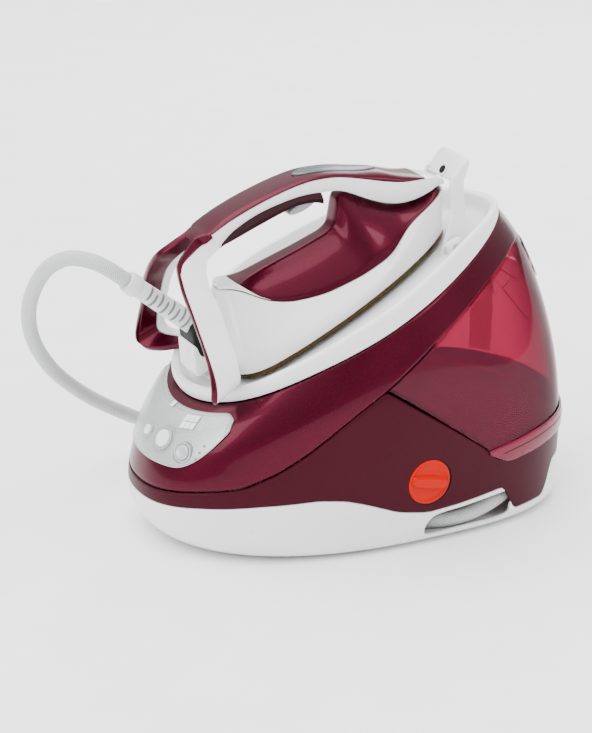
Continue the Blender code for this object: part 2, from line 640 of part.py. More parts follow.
def make_saddle():
    rings = []
    for y in SADDLE_Y:
        base = line_height(y, SKIRT_TOP) + 0.0016
        top = max(line_height(y, RIDGE), base + 0.004)
        wide = max(saddle_half_width(y) - 0.0008, 0.003)
        narrow = min(wide * 0.8, 0.0125)
        rise = top - base
        half = [(wide, 0.0), (wide * 0.9 + narrow * 0.1, rise * 0.22), (wide * 0.45 + narrow * 0.55, rise * 0.62),
                (narrow, rise * 0.88), (narrow * 0.55, rise)]
        ring = [(x, y, base + z) for x, z in half] + [(-x, y, base + z) for x, z in reversed(half)]
        rings.append(ring)
    add_object("iron_saddle", loft_mesh("iron_saddle", rings), BURGUNDY, 0.25, parent=IRON_FRAME)


# Handle, as (y, crown, top of the white band, bottom of the white band).
HANDLE = ((0.070, 0.1305, 0.1280, 0.1120), (0.090, 0.1335, 0.1300, 0.1190), (0.115, 0.1340, 0.1303, 0.1212),
          (0.140, 0.1325, 0.1290, 0.1190), (0.162, 0.1300, 0.1262, 0.1145), (0.180, 0.1262, 0.1217, 0.1078),
          (0.200, 0.1180, 0.1130, 0.0975), (0.222, 0.1055, 0.0983, 0.0755), (0.242, 0.0940, 0.0840, 0.0600),
          (0.260, 0.0805, 0.0735, 0.0530), (0.278, 0.0685, 0.0665, 0.0510))
NOSE = ((0.290, 0.0595, 0.0500), (0.2985, 0.0515, 0.0460))
GRIP = ((0.073, 0.1095), (0.085, 0.1075), (0.110, 0.1070), (0.135, 0.1062), (0.155, 0.1045), (0.172, 0.0985),
        (0.180, 0.0930))
HANDLE_HALF = 0.0200


def handle_level(y, column):
    return float(np.interp(y, [row[0] for row in HANDLE], [row[column] for row in HANDLE]))


def make_handle():
    cover, band = [], []
    for y, crown, top, bottom in HANDLE:
        wide = HANDLE_HALF - 0.0008
        low = top + 0.0003
        half = [(wide, low), (wide * 0.93, low + (crown - low) * 0.45), (wide * 0.6, low + (crown - low) * 0.86),
                (wide * 0.2, crown)]
        cover.append([(x, y, z) for x, z in half] + [(-x, y, z) for x, z in reversed(half)])
    rows = [(y, top, bottom) for y, _, top, bottom in HANDLE] + list(NOSE)
    for y, top, bottom in rows:
        wide = HANDLE_HALF * (1.0 if y < 0.27 else 1.0 - ((y - 0.27) / 0.034) ** 2 * 0.75)
        mid = (top + bottom) / 2
        half = [(wide * 0.86, bottom), (wide, mid), (wide * 0.95, top)]
        band.append([(x, y, z) for x, z in half] + [(-x, y, z) for x, z in reversed(half)])
    add_object("handle_cover", loft_mesh("handle_cover", cover), BURGUNDY, 0.25, parent=IRON_FRAME)
    add_object("handle_band", loft_mesh("handle_band", band), WHITE, 0.3, parent=IRON_FRAME)
    grip = []
    for y, bottom in GRIP:
        top = handle_level(y, 3) - 0.0003
        half = [(0.0165, top), (0.0160, (top + bottom) / 2), (0.0100, bottom + 0.0012), (0.0035, bottom)]
        grip.append([(x, y, z) for x, z in half] + [(-x, y, z) for x, z in reversed(half)])
    grip = add_object("handle_grip", loft_mesh("handle_grip", grip), DARK_BURGUNDY, 0.45, parent=IRON_FRAME)
    carve(grip, box_mesh("trigger_slot", (-0.0078, 0.143, 0.090), (0.0078, 0.190, 0.1105)))
    inlay_rows = []
    for y in (0.168, 0.180, 0.200, 0.222, 0.242, 0.257):
        share = (y - 0.2125) / 0.046
        wide = 0.0105 * math.sqrt(max(0.06, 1 - share ** 2))
        low = handle_level(y, 1) + 0.0004
        half = [(wide, low), (wide * 0.8, low + 0.0010), (wide * 0.3, low + 0.0014)]
        inlay_rows.append([(x, y, z) for x, z in half] + [(-x, y, z) for x, z in reversed(half)])
    add_object("handle_inlay", loft_mesh("handle_inlay", inlay_rows), GREY, 0.3, 0.5, parent=IRON_FRAME)
    return grip


TRIGGER_PIVOT = (0.1755, 0.1040)


def make_trigger(grip):
    y, z = TRIGGER_PIVOT
    outline = ((0.1475, 0.0995), (0.152, 0.0975), (0.166, 0.0960), (0.1785, 0.0985), (0.1785, 0.1075),
               (0.170, 0.1040), (0.152, 0.1035))
    trigger = add_object("steam_trigger", prism_mesh("steam_trigger", outline, 0.0070), GREY, 0.4,
                         parent=add_empty("trigger_axis", (0, y, z), (0, 0, 0), IRON_FRAME))
    trigger.data.transform(Matrix.Translation((0, -y, -z)))
    carve(trigger, rod_mesh("eye", (-0.02, 0, 0), (0.02, 0, 0), 0.0018, sides=12))
    pin = rod_mesh("pin", (-0.0145, y, z), (0.0145, y, z), 0.0015, sides=12)
    add_object("trigger_pin", pin, METAL, 0.3, 0.9, parent=IRON_FRAME)
    carve(grip, rod_mesh("pin_bore", (-0.015, y, z), (0.015, y, z), 0.0018, sides=12))


# Rear and front edge of each leg band from the handle down to the heel, as (x, y, z).
LEG_REAR = ((0.0080, 0.0685, 0.1300), (0.0110, 0.0560, 0.1285), (0.0155, 0.0440, 0.1255), (0.0215, 0.0320, 0.1215),
            (0.0290, 0.0270, 0.1165), (0.0360, 0.0235, 0.1105), (0.0435, 0.0200, 0.1029), (0.0547, 0.0157, 0.0901),
            (0.0634, 0.0118, 0.0764), (0.0715, 0.0084, 0.0628), (0.0805, 0.0046, 0.0495), (0.0865, 0.0009, 0.0371),
            (0.0885, -0.0029, 0.0264), (0.0855, -0.0055, 0.0180), (0.0775, -0.0045, 0.0125),
            (0.0650, 0.0025, 0.0105), (0.0500, 0.0150, 0.0105), (0.0360, 0.0255, 0.0115))
LEG_FRONT = ((0.0170, 0.0685, 0.1130), (0.0192, 0.0620, 0.1112), (0.0218, 0.0565, 0.1090), (0.0252, 0.0525, 0.1060),
             (0.0300, 0.0490, 0.1020), (0.0370, 0.0455, 0.0965), (0.0450, 0.0428, 0.0900), (0.0560, 0.0403, 0.0801),
             (0.0652, 0.0362, 0.0680), (0.0735, 0.0322, 0.0560), (0.0805, 0.0290, 0.0450), (0.0840, 0.0262, 0.0350),
             (0.0838, 0.0240, 0.0270), (0.0790, 0.0240, 0.0200), (0.0710, 0.0270, 0.0160),
             (0.0610, 0.0310, 0.0140), (0.0500, 0.0340, 0.0130), (0.0390, 0.0320, 0.0130))


def leg_rings(profile, sign):
    """Cross sections of one layer of a leg band.

    profile lists (share from the rear to the front edge, depth measured inwards from the outer face)."""
    rings = []
    count = len(LEG_REAR)
    for i in range(count):
        rear, front = Vector(LEG_REAR[i]), Vector(LEG_FRONT[i])
        before = (Vector(LEG_REAR[max(i - 1, 0)]) + Vector(LEG_FRONT[max(i - 1, 0)])) / 2
        after = (Vector(LEG_REAR[min(i + 1, count - 1)]) + Vector(LEG_FRONT[min(i + 1, count - 1)])) / 2
        across = front - rear
        inward = across.normalized().cross((after - before).normalized()).normalized()
        points = [rear + across * share + inward * depth for share, depth in profile]
        rings.append([(sign * p.x, p.y, p.z) for p in points])
    return rings


def make_legs():
    """Each leg is a white outer band with a lip along its front edge, lined with a burgundy band."""
    cover = ((0.0, 0.0), (0.5, 0.0), (1.0, 0.0), (1.0, 0.0060), (0.68, 0.0060), (0.66, 0.0026), (0.0, 0.0026))
    liner = ((0.0, 0.0034), (0.60, 0.0034), (0.60, 0.0060), (0.0, 0.0060))
    for side, sign in (("right", 1), ("left", -1)):
        outer = loft_mesh("outer", leg_rings(cover, sign))
        add_object(f"leg_cover_{side}", outer, WHITE, 0.3, parent=IRON_FRAME)
        inner = loft_mesh("inner", leg_rings(liner, sign))
        add_object(f"leg_liner_{side}", inner, BURGUNDY, 0.25, parent=IRON_FRAME)


RELIEF_START = (0.0, 0.0285, 0.0470)
RELIEF_END = (0.0, -0.0122, 0.1221)


def make_heel():
    outline = ((0.0060, 0.0135), (0.0270, 0.0135), (0.0440, 0.0520), (0.0200, 0.0560))
    heel = add_object("heel_block", prism_mesh("heel", outline, 0.0165), BLACK, 0.5, parent=IRON_FRAME)
    start, end = Vector(RELIEF_START), Vector(RELIEF_END)
    axis = (end - start).normalized()
    relief = turned_mesh("relief", start - axis * 0.010, axis,
                         ((0.0, 0.0072), (0.009, 0.0072), (0.011, 0.0098), (0.040, 0.0094), (0.090, 0.0084),
                          (0.0965, 0.0084)), 20)
    add_object("strain_relief", relief, WHITE, 0.5, parent=IRON_FRAME)
    carve(heel, rod_mesh("relief_bore", start - axis * 0.0104, start + axis * 0.03, 0.0075, sides=20))
    carve(heel, rod_mesh("relief_seat", start - axis * 0.0018, start + axis * 0.03, 0.0102, sides=20))


# ---------------------------------------------------------------- steam hose

HOSE_R = 0.0070


def iron_to_world(point):
    x, y, z = point
    return (x, IRON_ORIGIN[1] + y * math.cos(SLOPE) - z * math.sin(SLOPE),
            IRON_ORIGIN[2] + y * math.sin(SLOPE) + z * math.cos(SLOPE))


HOSE_START = iron_to_world((0.0, -0.01305, 0.12367))
HOSE_ROUTE = (
    HOSE_START, (-0.0004, -0.2306, 0.2650), (-0.0078, -0.2445, 0.2718), (-0.0215, -0.2590, 0.2718),
    (-0.0400, -0.2712, 0.2590), (-0.0610, -0.2772, 0.2342), (-0.0850, -0.2750, 0.2020), (-0.1105, -0.2618, 0.1640),
    (-0.1350, -0.2351, 0.1226), (-0.1540, -0.1986, 0.0860), (-0.1660, -0.1610, 0.0580), (-0.1735, -0.1230, 0.0350),
    (-0.1780, -0.0850, 0.0180), (-0.1780, -0.0450, 0.0092), (-0.1700, -0.0050, 0.0088),
    (-0.1570, 0.0300, 0.0110), (-0.1400, 0.0600, 0.0170), (-0.1215, 0.0880, 0.0225), (-0.1060, 0.1180, 0.0270),
    (-0.0850, 0.1480, 0.0300), (-0.0480, 0.1740, 0.0310), (0.0000, 0.1810, 0.0310), (0.0480, 0.1740, 0.0310),
    (0.0880, 0.1490, 0.0305), (0.1095, 0.1200, 0.0268), (0.1180, 0.0910, 0.0200), (0.1195, 0.0640, 0.0152),
    (0.1150, 0.0390, 0.0143), (0.1030, 0.0180, 0.0138), (0.0830, 0.0060, 0.0136), (0.0610, 0.0070, 0.0136),
    (0.0430, 0.0210, 0.0136), (0.0350, 0.0460, 0.0136), (0.0340, 0.0850, 0.0136), (0.0260, 0.1250, 0.0136),
    (0.0000, 0.1530, 0.0136), (-0.0380, 0.1560, 0.0136), (-0.0680, 0.1330, 0.0136), (-0.0790, 0.0980, 0.0136),
    (-0.0800, 0.0550, 0.0136), (-0.0800, 0.0050, 0.0136), (-0.0740, -0.0400, 0.0136), (-0.0510, -0.0750, 0.0136),
    (-0.0140, -0.0920, 0.0136), (0.0200, -0.0940, 0.0136), (0.0450, -0.0940, 0.0136))


def smooth_route(points, count):
    """Points at equal steps along a cubic curve through the route's points."""
    knots = [Vector(p) for p in points]
    knots = [2 * knots[0] - knots[1]] + knots + [2 * knots[-1] - knots[-2]]
    dense = []
    for i in range(1, len(knots) - 2):
        a, b, c, d = knots[i - 1:i + 3]
        for step in range(24):
            t = step / 24
            dense.append(0.5 * (2 * b + (c - a) * t + (2 * a - 5 * b + 4 * c - d) * t ** 2
                                + (3 * b - a - 3 * c + d) * t ** 3))
    dense.append(knots[-2])
    lengths = [0.0]
    for a, b in zip(dense, dense[1:]):
        lengths.append(lengths[-1] + (b - a).length)
    result = []
    for k in range(count):
        place = lengths[-1] * k / (count - 1)
        i = min(int(np.searchsorted(lengths, place, side="right")) - 1, len(dense) - 2)
        share = (place - lengths[i]) / max(lengths[i + 1] - lengths[i], 1e-9)
        result.append(dense[i].lerp(dense[i + 1], share))
    return result


def make_hose():
    points = smooth_route(HOSE_ROUTE, 76)
    curve = bpy.data.curves.new("steam_hose", "CURVE")
    curve.dimensions = "3D"
    curve.bevel_depth = HOSE_R
    curve.bevel_resolution = 2
    curve.use_fill_caps = True
    line = curve.splines.new("POLY")
    line.points.add(len(points) - 1)
    for knot, point in zip(line.points, points):
        knot.co = (*point, 1.0)
    add_object("steam_hose", curve, GREY, 0.8)


def make_gland():
    """The hose ends in a socket on the floor of the base."""
    x, y, z = HOSE_ROUTE[-1]
    gland = turned_mesh("gland", (x + GAP, y, z), (1, 0, 0),
                        ((0.0, 0.0072), (0.004, 0.0072), (0.004, 0.0060), (0.018, 0.0060)), 16)
    add_object("hose_gland", gland, METAL, 0.4, 0.8)


def build():
    make_base_pan()
    make_feet()
    cover = make_covers()
    make_tray()
    make_panel(cover)
    make_tank_deck()
    make_tank()
    make_collector()
    make_boiler()
    make_inlet()
    make_bail()
    make_soleplate()
    make_skirt()
    make_saddle()
    grip = make_handle()
    make_trigger(grip)
    make_legs()
    make_heel()
    make_hose()
    make_gland()


clear_scene()
PARTS = new_collection("steam_generator_iron")
CUTTERS = new_collection("cutters")
STATION = add_empty("station_origin", (0, 0, 0))
IRON_FRAME = add_empty("iron_frame", IRON_ORIGIN, (SLOPE, 0, 0), STATION)
build()
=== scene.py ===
"""Looks for the steam generator iron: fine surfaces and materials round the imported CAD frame.

Units are metres, +Z up, in the same frame as the CAD: the panel faces -Y, the tank +Y, the collector +X.
"""
import itertools
import math

import bmesh
import bpy
import numpy as np
from mathutils import Matrix, Vector


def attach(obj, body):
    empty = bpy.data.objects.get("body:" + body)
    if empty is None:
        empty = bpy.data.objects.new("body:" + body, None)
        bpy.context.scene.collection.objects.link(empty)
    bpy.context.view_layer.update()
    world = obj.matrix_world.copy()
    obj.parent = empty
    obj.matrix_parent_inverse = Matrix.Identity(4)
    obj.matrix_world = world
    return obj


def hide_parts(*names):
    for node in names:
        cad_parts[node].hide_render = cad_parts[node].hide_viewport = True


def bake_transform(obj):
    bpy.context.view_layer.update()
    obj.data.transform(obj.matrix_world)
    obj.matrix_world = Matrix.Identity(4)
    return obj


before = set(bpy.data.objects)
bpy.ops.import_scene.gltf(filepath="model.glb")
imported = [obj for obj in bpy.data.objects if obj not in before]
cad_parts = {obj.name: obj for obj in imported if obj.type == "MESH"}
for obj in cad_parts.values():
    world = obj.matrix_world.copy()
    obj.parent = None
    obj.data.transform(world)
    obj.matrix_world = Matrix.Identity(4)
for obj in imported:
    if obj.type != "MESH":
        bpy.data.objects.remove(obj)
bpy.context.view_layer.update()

# Body surface: the same design numbers as the CAD.
BELT_Z = 0.03
FOOT_Z = 0.003
LEVELS = (0.0, 0.25, 0.5, 0.75, 0.9, 1.0)
HALF_WIDTH = (0.132, 0.133, 0.131, 0.126, 0.12, 0.116)
FRONT_Y = (-0.208, -0.208, -0.201, -0.187, -0.173, -0.158)
REAR_Y = (0.208, 0.212, 0.21, 0.196, 0.179, 0.16)
WIDEST_Y = (0.03, 0.02, 0.008, -0.008, -0.016, -0.02)
FRONT_ROUND = (2.25, 2.2, 2.15, 2.1, 2.05, 2.0)
REAR_ROUND = (3.0, 2.8, 2.4, 2.0, 1.85, 1.75)
FOOT_PLAN = (0.124, -0.172, 0.196, 0.03, 2.2, 3.0)
SLOPE = math.radians(22.6)
RIM_FRONT = (-0.158, 0.134)
# Along the rim, from the front (-90 degrees) past the side (0) to the rear (90): how far the cover's top edge
# rises over the flat rim plane, and how tall the white wall above it is.
RIM_TURN = (-90, -68, -54, -45, -35, -22, -10, 10, 26, 42, 60, 77, 90)
RIM_RISE = (0.0, 0.0006, 0.002, 0.0038, 0.0065, 0.0092, 0.0101, 0.0103, 0.0112, 0.0122, 0.0112, 0.0086,
            0.0076)
WALL_TURN = (-90, -62, -50, -39, -24, -10, 13, 28, 42, 60, 77, 90)
WALL_RISE = (0.0134, 0.0128, 0.0128, 0.0146, 0.0158, 0.0185, 0.02, 0.021, 0.0195, 0.013, 0.007, 0.0055)
IRON_ORIGIN = Vector((0.0, -0.1542, 0.1424))
SEAM = (
    (-0.21, 0.047), (-0.18, 0.053), (-0.135, 0.058), (-0.085, 0.061), (-0.06, 0.058), (-0.039, 0.051),
    (-0.008, 0.038), (0.022, 0.032), (0.054, 0.034), (0.106, 0.04), (0.116, 0.014), (0.158, 0.015),
    (0.172, 0.045), (0.22, 0.047))
CREASE = (
    (-0.21, 0.059), (-0.181, 0.067), (-0.148, 0.074), (-0.119, 0.089), (-0.093, 0.106), (-0.065, 0.127),
    (-0.046, 0.14), (-0.019, 0.156))
TANK_TOP = (
    (-0.019, 0.156), (0.041, 0.194), (0.067, 0.208), (0.097, 0.225), (0.126, 0.237), (0.153, 0.246),
    (0.23, 0.25))
TANK_BOTTOM = (
    (-0.019, 0.156), (0.013, 0.134), (0.043, 0.112), (0.083, 0.082), (0.094, 0.07), (0.23, 0.0702))
COLLECTOR = (0.022, 0.063)
COLLECTOR_R = 0.0215
ROUND = 288                   # points round the body
PANEL_SPAN = (-127, -53)      # degrees round the body


# ---- interpolation

def smooth(value, places, values):
    """A smooth curve through (place, value) pairs."""
    slopes = np.gradient(np.array(values, float), np.array(places, float))
    i = int(np.clip(np.searchsorted(places, value) - 1, 0, len(places) - 2))
    width = places[i + 1] - places[i]
    u = (value - places[i]) / width
    a = (2 * u ** 3 - 3 * u ** 2 + 1) * values[i] + (u ** 3 - 2 * u ** 2 + u) * width * slopes[i]
    b = (-2 * u ** 3 + 3 * u ** 2) * values[i + 1] + (u ** 3 - u ** 2) * width * slopes[i + 1]
    return float(a + b)


def straight(value, line):
    """Straight lines between (place, height) points."""
    return float(np.interp(value, [p[0] for p in line], [p[1] for p in line]))


def rounded(value, line, reach=0.006):
    """A joint line with its corners rounded: the mean of the line over a short stretch."""
    return sum(straight(value + reach * k / 3, line) for k in range(-3, 4)) / 7


def spline(points, steps, closed=False):
    """A denser list of points along a cubic curve through the points."""
    knots = [Vector(p) for p in points]
    if closed:
        knots = [knots[-1]] + knots + knots[:2]
    else:
        knots = [2 * knots[0] - knots[1]] + knots + [2 * knots[-1] - knots[-2]]
    dense = []
    for a, b, c, d in zip(knots, knots[1:], knots[2:], knots[3:]):
        for k in range(steps):
            t = k / steps
            dense.append(0.5 * (2 * b + (c - a) * t + (2 * a - 5 * b + 4 * c - d) * t ** 2
                                + (3 * b - a - 3 * c + d) * t ** 3))
    if not closed:
        dense.append(knots[-2])
    return dense


def flat_spline(points, steps, closed=False):
    """The same curve through points of a plane."""
    return [(p.x, p.y) for p in spline([(a, b, 0) for a, b in points], steps, closed)]


def even_sections(rows, steps):
    """Smooth rows between the rows of a table with four columns."""
    first = spline([row[:3] for row in rows], steps)
    last = spline([(row[3], 0, 0) for row in rows], steps)
    return [(p.x, p.y, p.z, q.x) for p, q in zip(first, last)]


def table_at(table, y, column):
    """A column of a (y, ...) table, smoothly interpolated."""
    return smooth(y, [row[0] for row in table], [row[column] for row in table])


# ---- body surface

def plan_point(angle, half_width, front, rear, middle, front_round, rear_round, inset=0.0):
    c, s = math.cos(angle), math.sin(angle)
    power = 2 / (front_round if s < 0 else rear_round)
    reach = (middle - front if s < 0 else rear - middle) - inset
    x = (half_width - inset) * math.copysign(abs(c) ** power, c)
    return x, middle + reach * math.copysign(abs(s) ** power, s)


def level_plan(level):
    tables = (HALF_WIDTH, FRONT_Y, REAR_Y, WIDEST_Y, FRONT_ROUND, REAR_ROUND)
    return [smooth(max(level, 0.0), LEVELS, table) for table in tables]


def rim_height(y):
    return RIM_FRONT[1] + math.tan(SLOPE) * (y - RIM_FRONT[0])


def side_turn(angle):
    """The angle folded onto the +X half, in degrees from -90 (front) to 90 (rear)."""
    return math.degrees(math.asin(max(-1.0, min(1.0, math.sin(angle)))))


def rim_z(angle):
    return rim_height(plan_point(angle, *level_plan(1.0))[1]) + smooth(side_turn(angle), RIM_TURN, RIM_RISE)


def skin_point(angle, level, inset=0.0):
    x, y = plan_point(angle, *level_plan(level), inset)
    return Vector((x, y, BELT_Z + (rim_z(angle) - BELT_Z) * level))


def skin_at_height(angle, height, inset=0.0):
    level = (height - BELT_Z) / (rim_z(angle) - BELT_Z)
    x, y = plan_point(angle, *level_plan(level), inset)
    return Vector((x, y, height))


def joint_height(angle, line, start=0.1, reach=0.006):
    """Height at which a joint line, given over y, meets the skin at this angle."""
    height = start
    for _ in range(7):
        height = 0.5 * height + 0.5 * rounded(skin_at_height(angle, height)[1], line, reach)
    return height


def body_angles(count=ROUND):
    """Evenly spread angles of a full turn."""
    return [math.radians(360.0 * (k + 0.5) / count) for k in range(count)]


def iron_to_world(point):
    x, y, z = point
    return Vector((x, IRON_ORIGIN.y + y * math.cos(SLOPE) - z * math.sin(SLOPE),
                   IRON_ORIGIN.z + y * math.sin(SLOPE) + z * math.cos(SLOPE)))


# ---- mesh helpers

def new_object(name, mesh):
    item = bpy.data.objects.new(name, mesh)
    bpy.context.scene.collection.objects.link(item)
    return item


def finish(item, shade, body, replaces=(), sharp=35, slot="usual"):
    """Material, soft shading, the CAD body that the piece moves with, and what it replaces."""
    item.data.materials.clear()
    item.data.materials.append(M[shade])
    item.data.shade_smooth()
    item.data.set_sharp_from_angle(angle=math.radians(sharp))
    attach(item, body)
    if replaces:
        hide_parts(*replaces)
    return item


def solid(name, rows):
    """A closed solid through rings of points."""
    return new_object(name, solid_mesh(name, rows))


def solid_mesh(name, rows):
    return grid_mesh(name, rows, wrap_columns=True, caps=True)


def grid_mesh(name, rows, wrap_columns=False, wrap_rows=False, caps=False):
    """A surface through rows of points."""
    bm = bmesh.new()
    grid = [[bm.verts.new(p) for p in row] for row in rows]
    count = len(grid[0])
    last_column = count if wrap_columns else count - 1
    last_row = len(grid) if wrap_rows else len(grid) - 1
    for r in range(last_row):
        upper = grid[(r + 1) % len(grid)]
        for c in range(last_column):
            d = (c + 1) % count
            bm.faces.new((grid[r][c], grid[r][d], upper[d], upper[c]))
    if caps:
        bm.faces.new(list(reversed(grid[0])))
        bm.faces.new(grid[-1])
    bmesh.ops.recalc_face_normals(bm, faces=bm.faces)
    mesh = bpy.data.meshes.new(name)
    bm.to_mesh(mesh)
    bm.free()
    return mesh


def modifier(item, kind, **settings):
    step = item.modifiers.new(kind.lower(), kind)
    for key, value in settings.items():
        setattr(step, key, value)
    return step


def apply_modifiers(item):
    """Turns the evaluated mesh into the object's own mesh."""
    graph = bpy.context.evaluated_depsgraph_get()
    mesh = bpy.data.meshes.new_from_object(item.evaluated_get(graph))
    item.modifiers.clear()
    item.data = mesh
    return item


def thicken(item, thickness):
    """Gives an open sheet a real wall on its inner side."""
    modifier(item, "SOLIDIFY", thickness=thickness, offset=-1.0, use_even_offset=False)
    return apply_modifiers(item)


def prism(name, outline, half_width, centre_x=0.0):
    near = [Vector((centre_x + half_width, y, z)) for y, z in outline]
    far = [Vector((centre_x - half_width, y, z)) for y, z in outline]
    return solid_mesh(name, [far, near])


def block(name, low, high):
    x0, y0, z0 = low
    x1, y1, z1 = high
    lower = [Vector(p) for p in ((x0, y0, z0), (x1, y0, z0), (x1, y1, z0), (x0, y1, z0))]
    upper = [p + Vector((0, 0, z1 - z0)) for p in lower]
    return solid_mesh(name, [lower, upper])


def circle(middle, across, other, radius, sides):
    turns = (2 * math.pi * k / sides for k in range(sides))
    return [middle + (across * math.cos(a) + other * math.sin(a)) * radius for a in turns]


def turned(name, start, direction, profile, sides=64):
    """A solid of revolution: profile is (distance along the axis, radius)."""
    axis = Vector(direction).normalized()
    across = axis.orthogonal().normalized()
    other = axis.cross(across)
    rows = []
    for along, radius in profile:
        rows.append(circle(Vector(start) + axis * along, across, other, radius, sides))
    return solid_mesh(name, rows)


def round_solid(name, *shape):
    """An object from turned()."""
    return new_object(name, turned(name, *shape))


def cut(item, cutter_mesh, operation="DIFFERENCE"):
    """Applies one exact Boolean and removes the cutter."""
    cutter = new_object("cutter", cutter_mesh)
    cutter.matrix_world = item.matrix_world
    modifier(item, "BOOLEAN", operation=operation, object=cutter, solver="EXACT")
    apply_modifiers(item)
    bpy.data.objects.remove(cutter, do_unlink=True)
    return item


def in_iron_frame(rows):
    return [[iron_to_world(p) for p in row] for row in rows]


# ---- materials

def set_inputs(item, **values):
    """Sets input sockets of a node; an underscore stands for a space in the name."""
    for key, value in values.items():
        item.inputs[key.replace("_", " ")].default_value = value
    return item


def node(shade, kind, **values):
    return set_inputs(shade.node_tree.nodes.new(kind), **values)


def surface(shade):
    return shade.node_tree.nodes["Principled BSDF"]


def new_material(name, colour, roughness, metallic=0.0, **sockets):
    shade = bpy.data.materials.new(name)
    shade.use_nodes = True
    set_inputs(surface(shade), Base_Color=(*colour, 1.0), Roughness=roughness, Metallic=metallic, **sockets)
    return shade


def link(shade, a, out, b, into):
    shade.node_tree.links.new(a.outputs[out], b.inputs[into])


def noise(shade, scale, detail=3.0, stretch=(1, 1, 1)):
    place = node(shade, "ShaderNodeTexCoord")
    mapping = node(shade, "ShaderNodeMapping", Scale=stretch)
    made = node(shade, "ShaderNodeTexNoise", Scale=scale, Detail=detail)
    link(shade, place, "Object", mapping, "Vector")
    link(shade, mapping, "Vector", made, "Vector")
    return made


def add_bump(shade, source, out, strength, distance):
    bump = node(shade, "ShaderNodeBump", Strength=strength, Distance=distance)
    link(shade, source, out, bump, "Height")
    link(shade, bump, "Normal", surface(shade), "Normal")


def add_range(shade, source, out, socket, low, high, start=0.3, end=0.7):
    """Drives a socket between low and high by a texture."""
    spread = node(shade, "ShaderNodeMapRange", From_Min=start, From_Max=end, To_Min=low, To_Max=high)
    link(shade, source, out, spread, "Value")
    link(shade, spread, "Result", surface(shade), socket)


def add_tint(shade, source, out, dark, light, start=0.35, end=0.65):
    """Colours the surface between two tones by a texture."""
    ramp = node(shade, "ShaderNodeValToRGB")
    for stop, place, colour in zip(ramp.color_ramp.elements, (start, end), (dark, light)):
        stop.position = place
        stop.color = (*colour, 1.0)
    link(shade, source, out, ramp, "Fac")
    link(shade, ramp, "Color", surface(shade), "Base Color")


def lacquer(name, dark, light, metallic, roughness, coat=0.24):
    """Metallic lacquer: fine flakes under a thin clear coat with a faint orange-peel."""
    shade = new_material(name, light, roughness, metallic, Coat_Weight=coat, Coat_Roughness=0.05,
                         Coat_IOR=1.35, Specular_IOR_Level=0.12)
    flakes = noise(shade, 1400, 1.0)
    add_tint(shade, flakes, "Fac", dark, light, 0.3, 0.7)
    cloud = noise(shade, 9, 3.0)
    add_range(shade, cloud, "Fac", "Roughness", roughness * 0.85, roughness * 1.2)
    peel = noise(shade, 420, 2.0)
    add_bump(shade, peel, "Fac", 0.05, 0.0003)
    return shade


def moulded(name, colour, roughness, grain=900, bump=0.12, **sockets):
    """Moulded plastic with fine grain and a slight change of tone and gloss."""
    shade = new_material(name, colour, roughness, 0.0, **sockets)
    cloud = noise(shade, 14, 4.0)
    add_tint(shade, cloud, "Fac", tuple(v * 0.965 for v in colour), colour)
    add_range(shade, noise(shade, 40, 3.0), "Fac", "Roughness", roughness * 0.88, roughness * 1.15)
    add_bump(shade, noise(shade, grain, 2.0), "Fac", bump, 0.0002)
    return shade


def metal(name, colour, roughness, brushed=(1, 1, 1), scale=300):
    shade = new_material(name, colour, roughness, 1.0)
    streak = noise(shade, scale, 3.0, brushed)
    add_range(shade, streak, "Fac", "Roughness", roughness * 0.7, roughness * 1.4)
    add_tint(shade, streak, "Fac", tuple(v * 0.9 for v in colour), colour)
    add_bump(shade, streak, "Fac", 0.1, 0.0001)
    return shade


def clear_plastic(name, face, edge):
    """Tinted see-through plastic of the water tank: the walls look deeper where they are seen edge-on."""
    shade = new_material(name, face, 0.015, 0.0, Transmission_Weight=0.9, IOR=1.06, Coat_Weight=0.22,
                         Coat_Roughness=0.02, Coat_IOR=1.35)
    weight = node(shade, "ShaderNodeLayerWeight", Blend=0.42)
    add_tint(shade, weight, "Facing", face, edge, 0.3, 0.7)
    add_bump(shade, noise(shade, 45, 2.0), "Fac", 0.02, 0.0004)
    return shade


def textile(name, dark, light):
    """Woven sleeve: crossing yarns from the tube's own UVs."""
    shade = new_material(name, light, 0.85, 0.0, Sheen_Weight=0.3, Sheen_Roughness=0.5)
    place = node(shade, "ShaderNodeTexCoord")
    waves = []
    for turn in (0.62, -0.62):
        mapping = node(shade, "ShaderNodeMapping", Rotation=(0, 0, turn))
        wave = node(shade, "ShaderNodeTexWave", Scale=190.0, Distortion=0.6, Detail=1.0)
        link(shade, place, "UV", mapping, "Vector")
        link(shade, mapping, "Vector", wave, "Vector")
        waves.append(wave)
    weave = node(shade, "ShaderNodeMath")
    weave.operation = "MULTIPLY"
    link(shade, waves[0], "Fac", weave, 0)
    link(shade, waves[1], "Fac", weave, 1)
    add_tint(shade, weave, "Value", dark, light, 0.05, 0.45)
    add_bump(shade, weave, "Value", 0.6, 0.0005)
    return shade


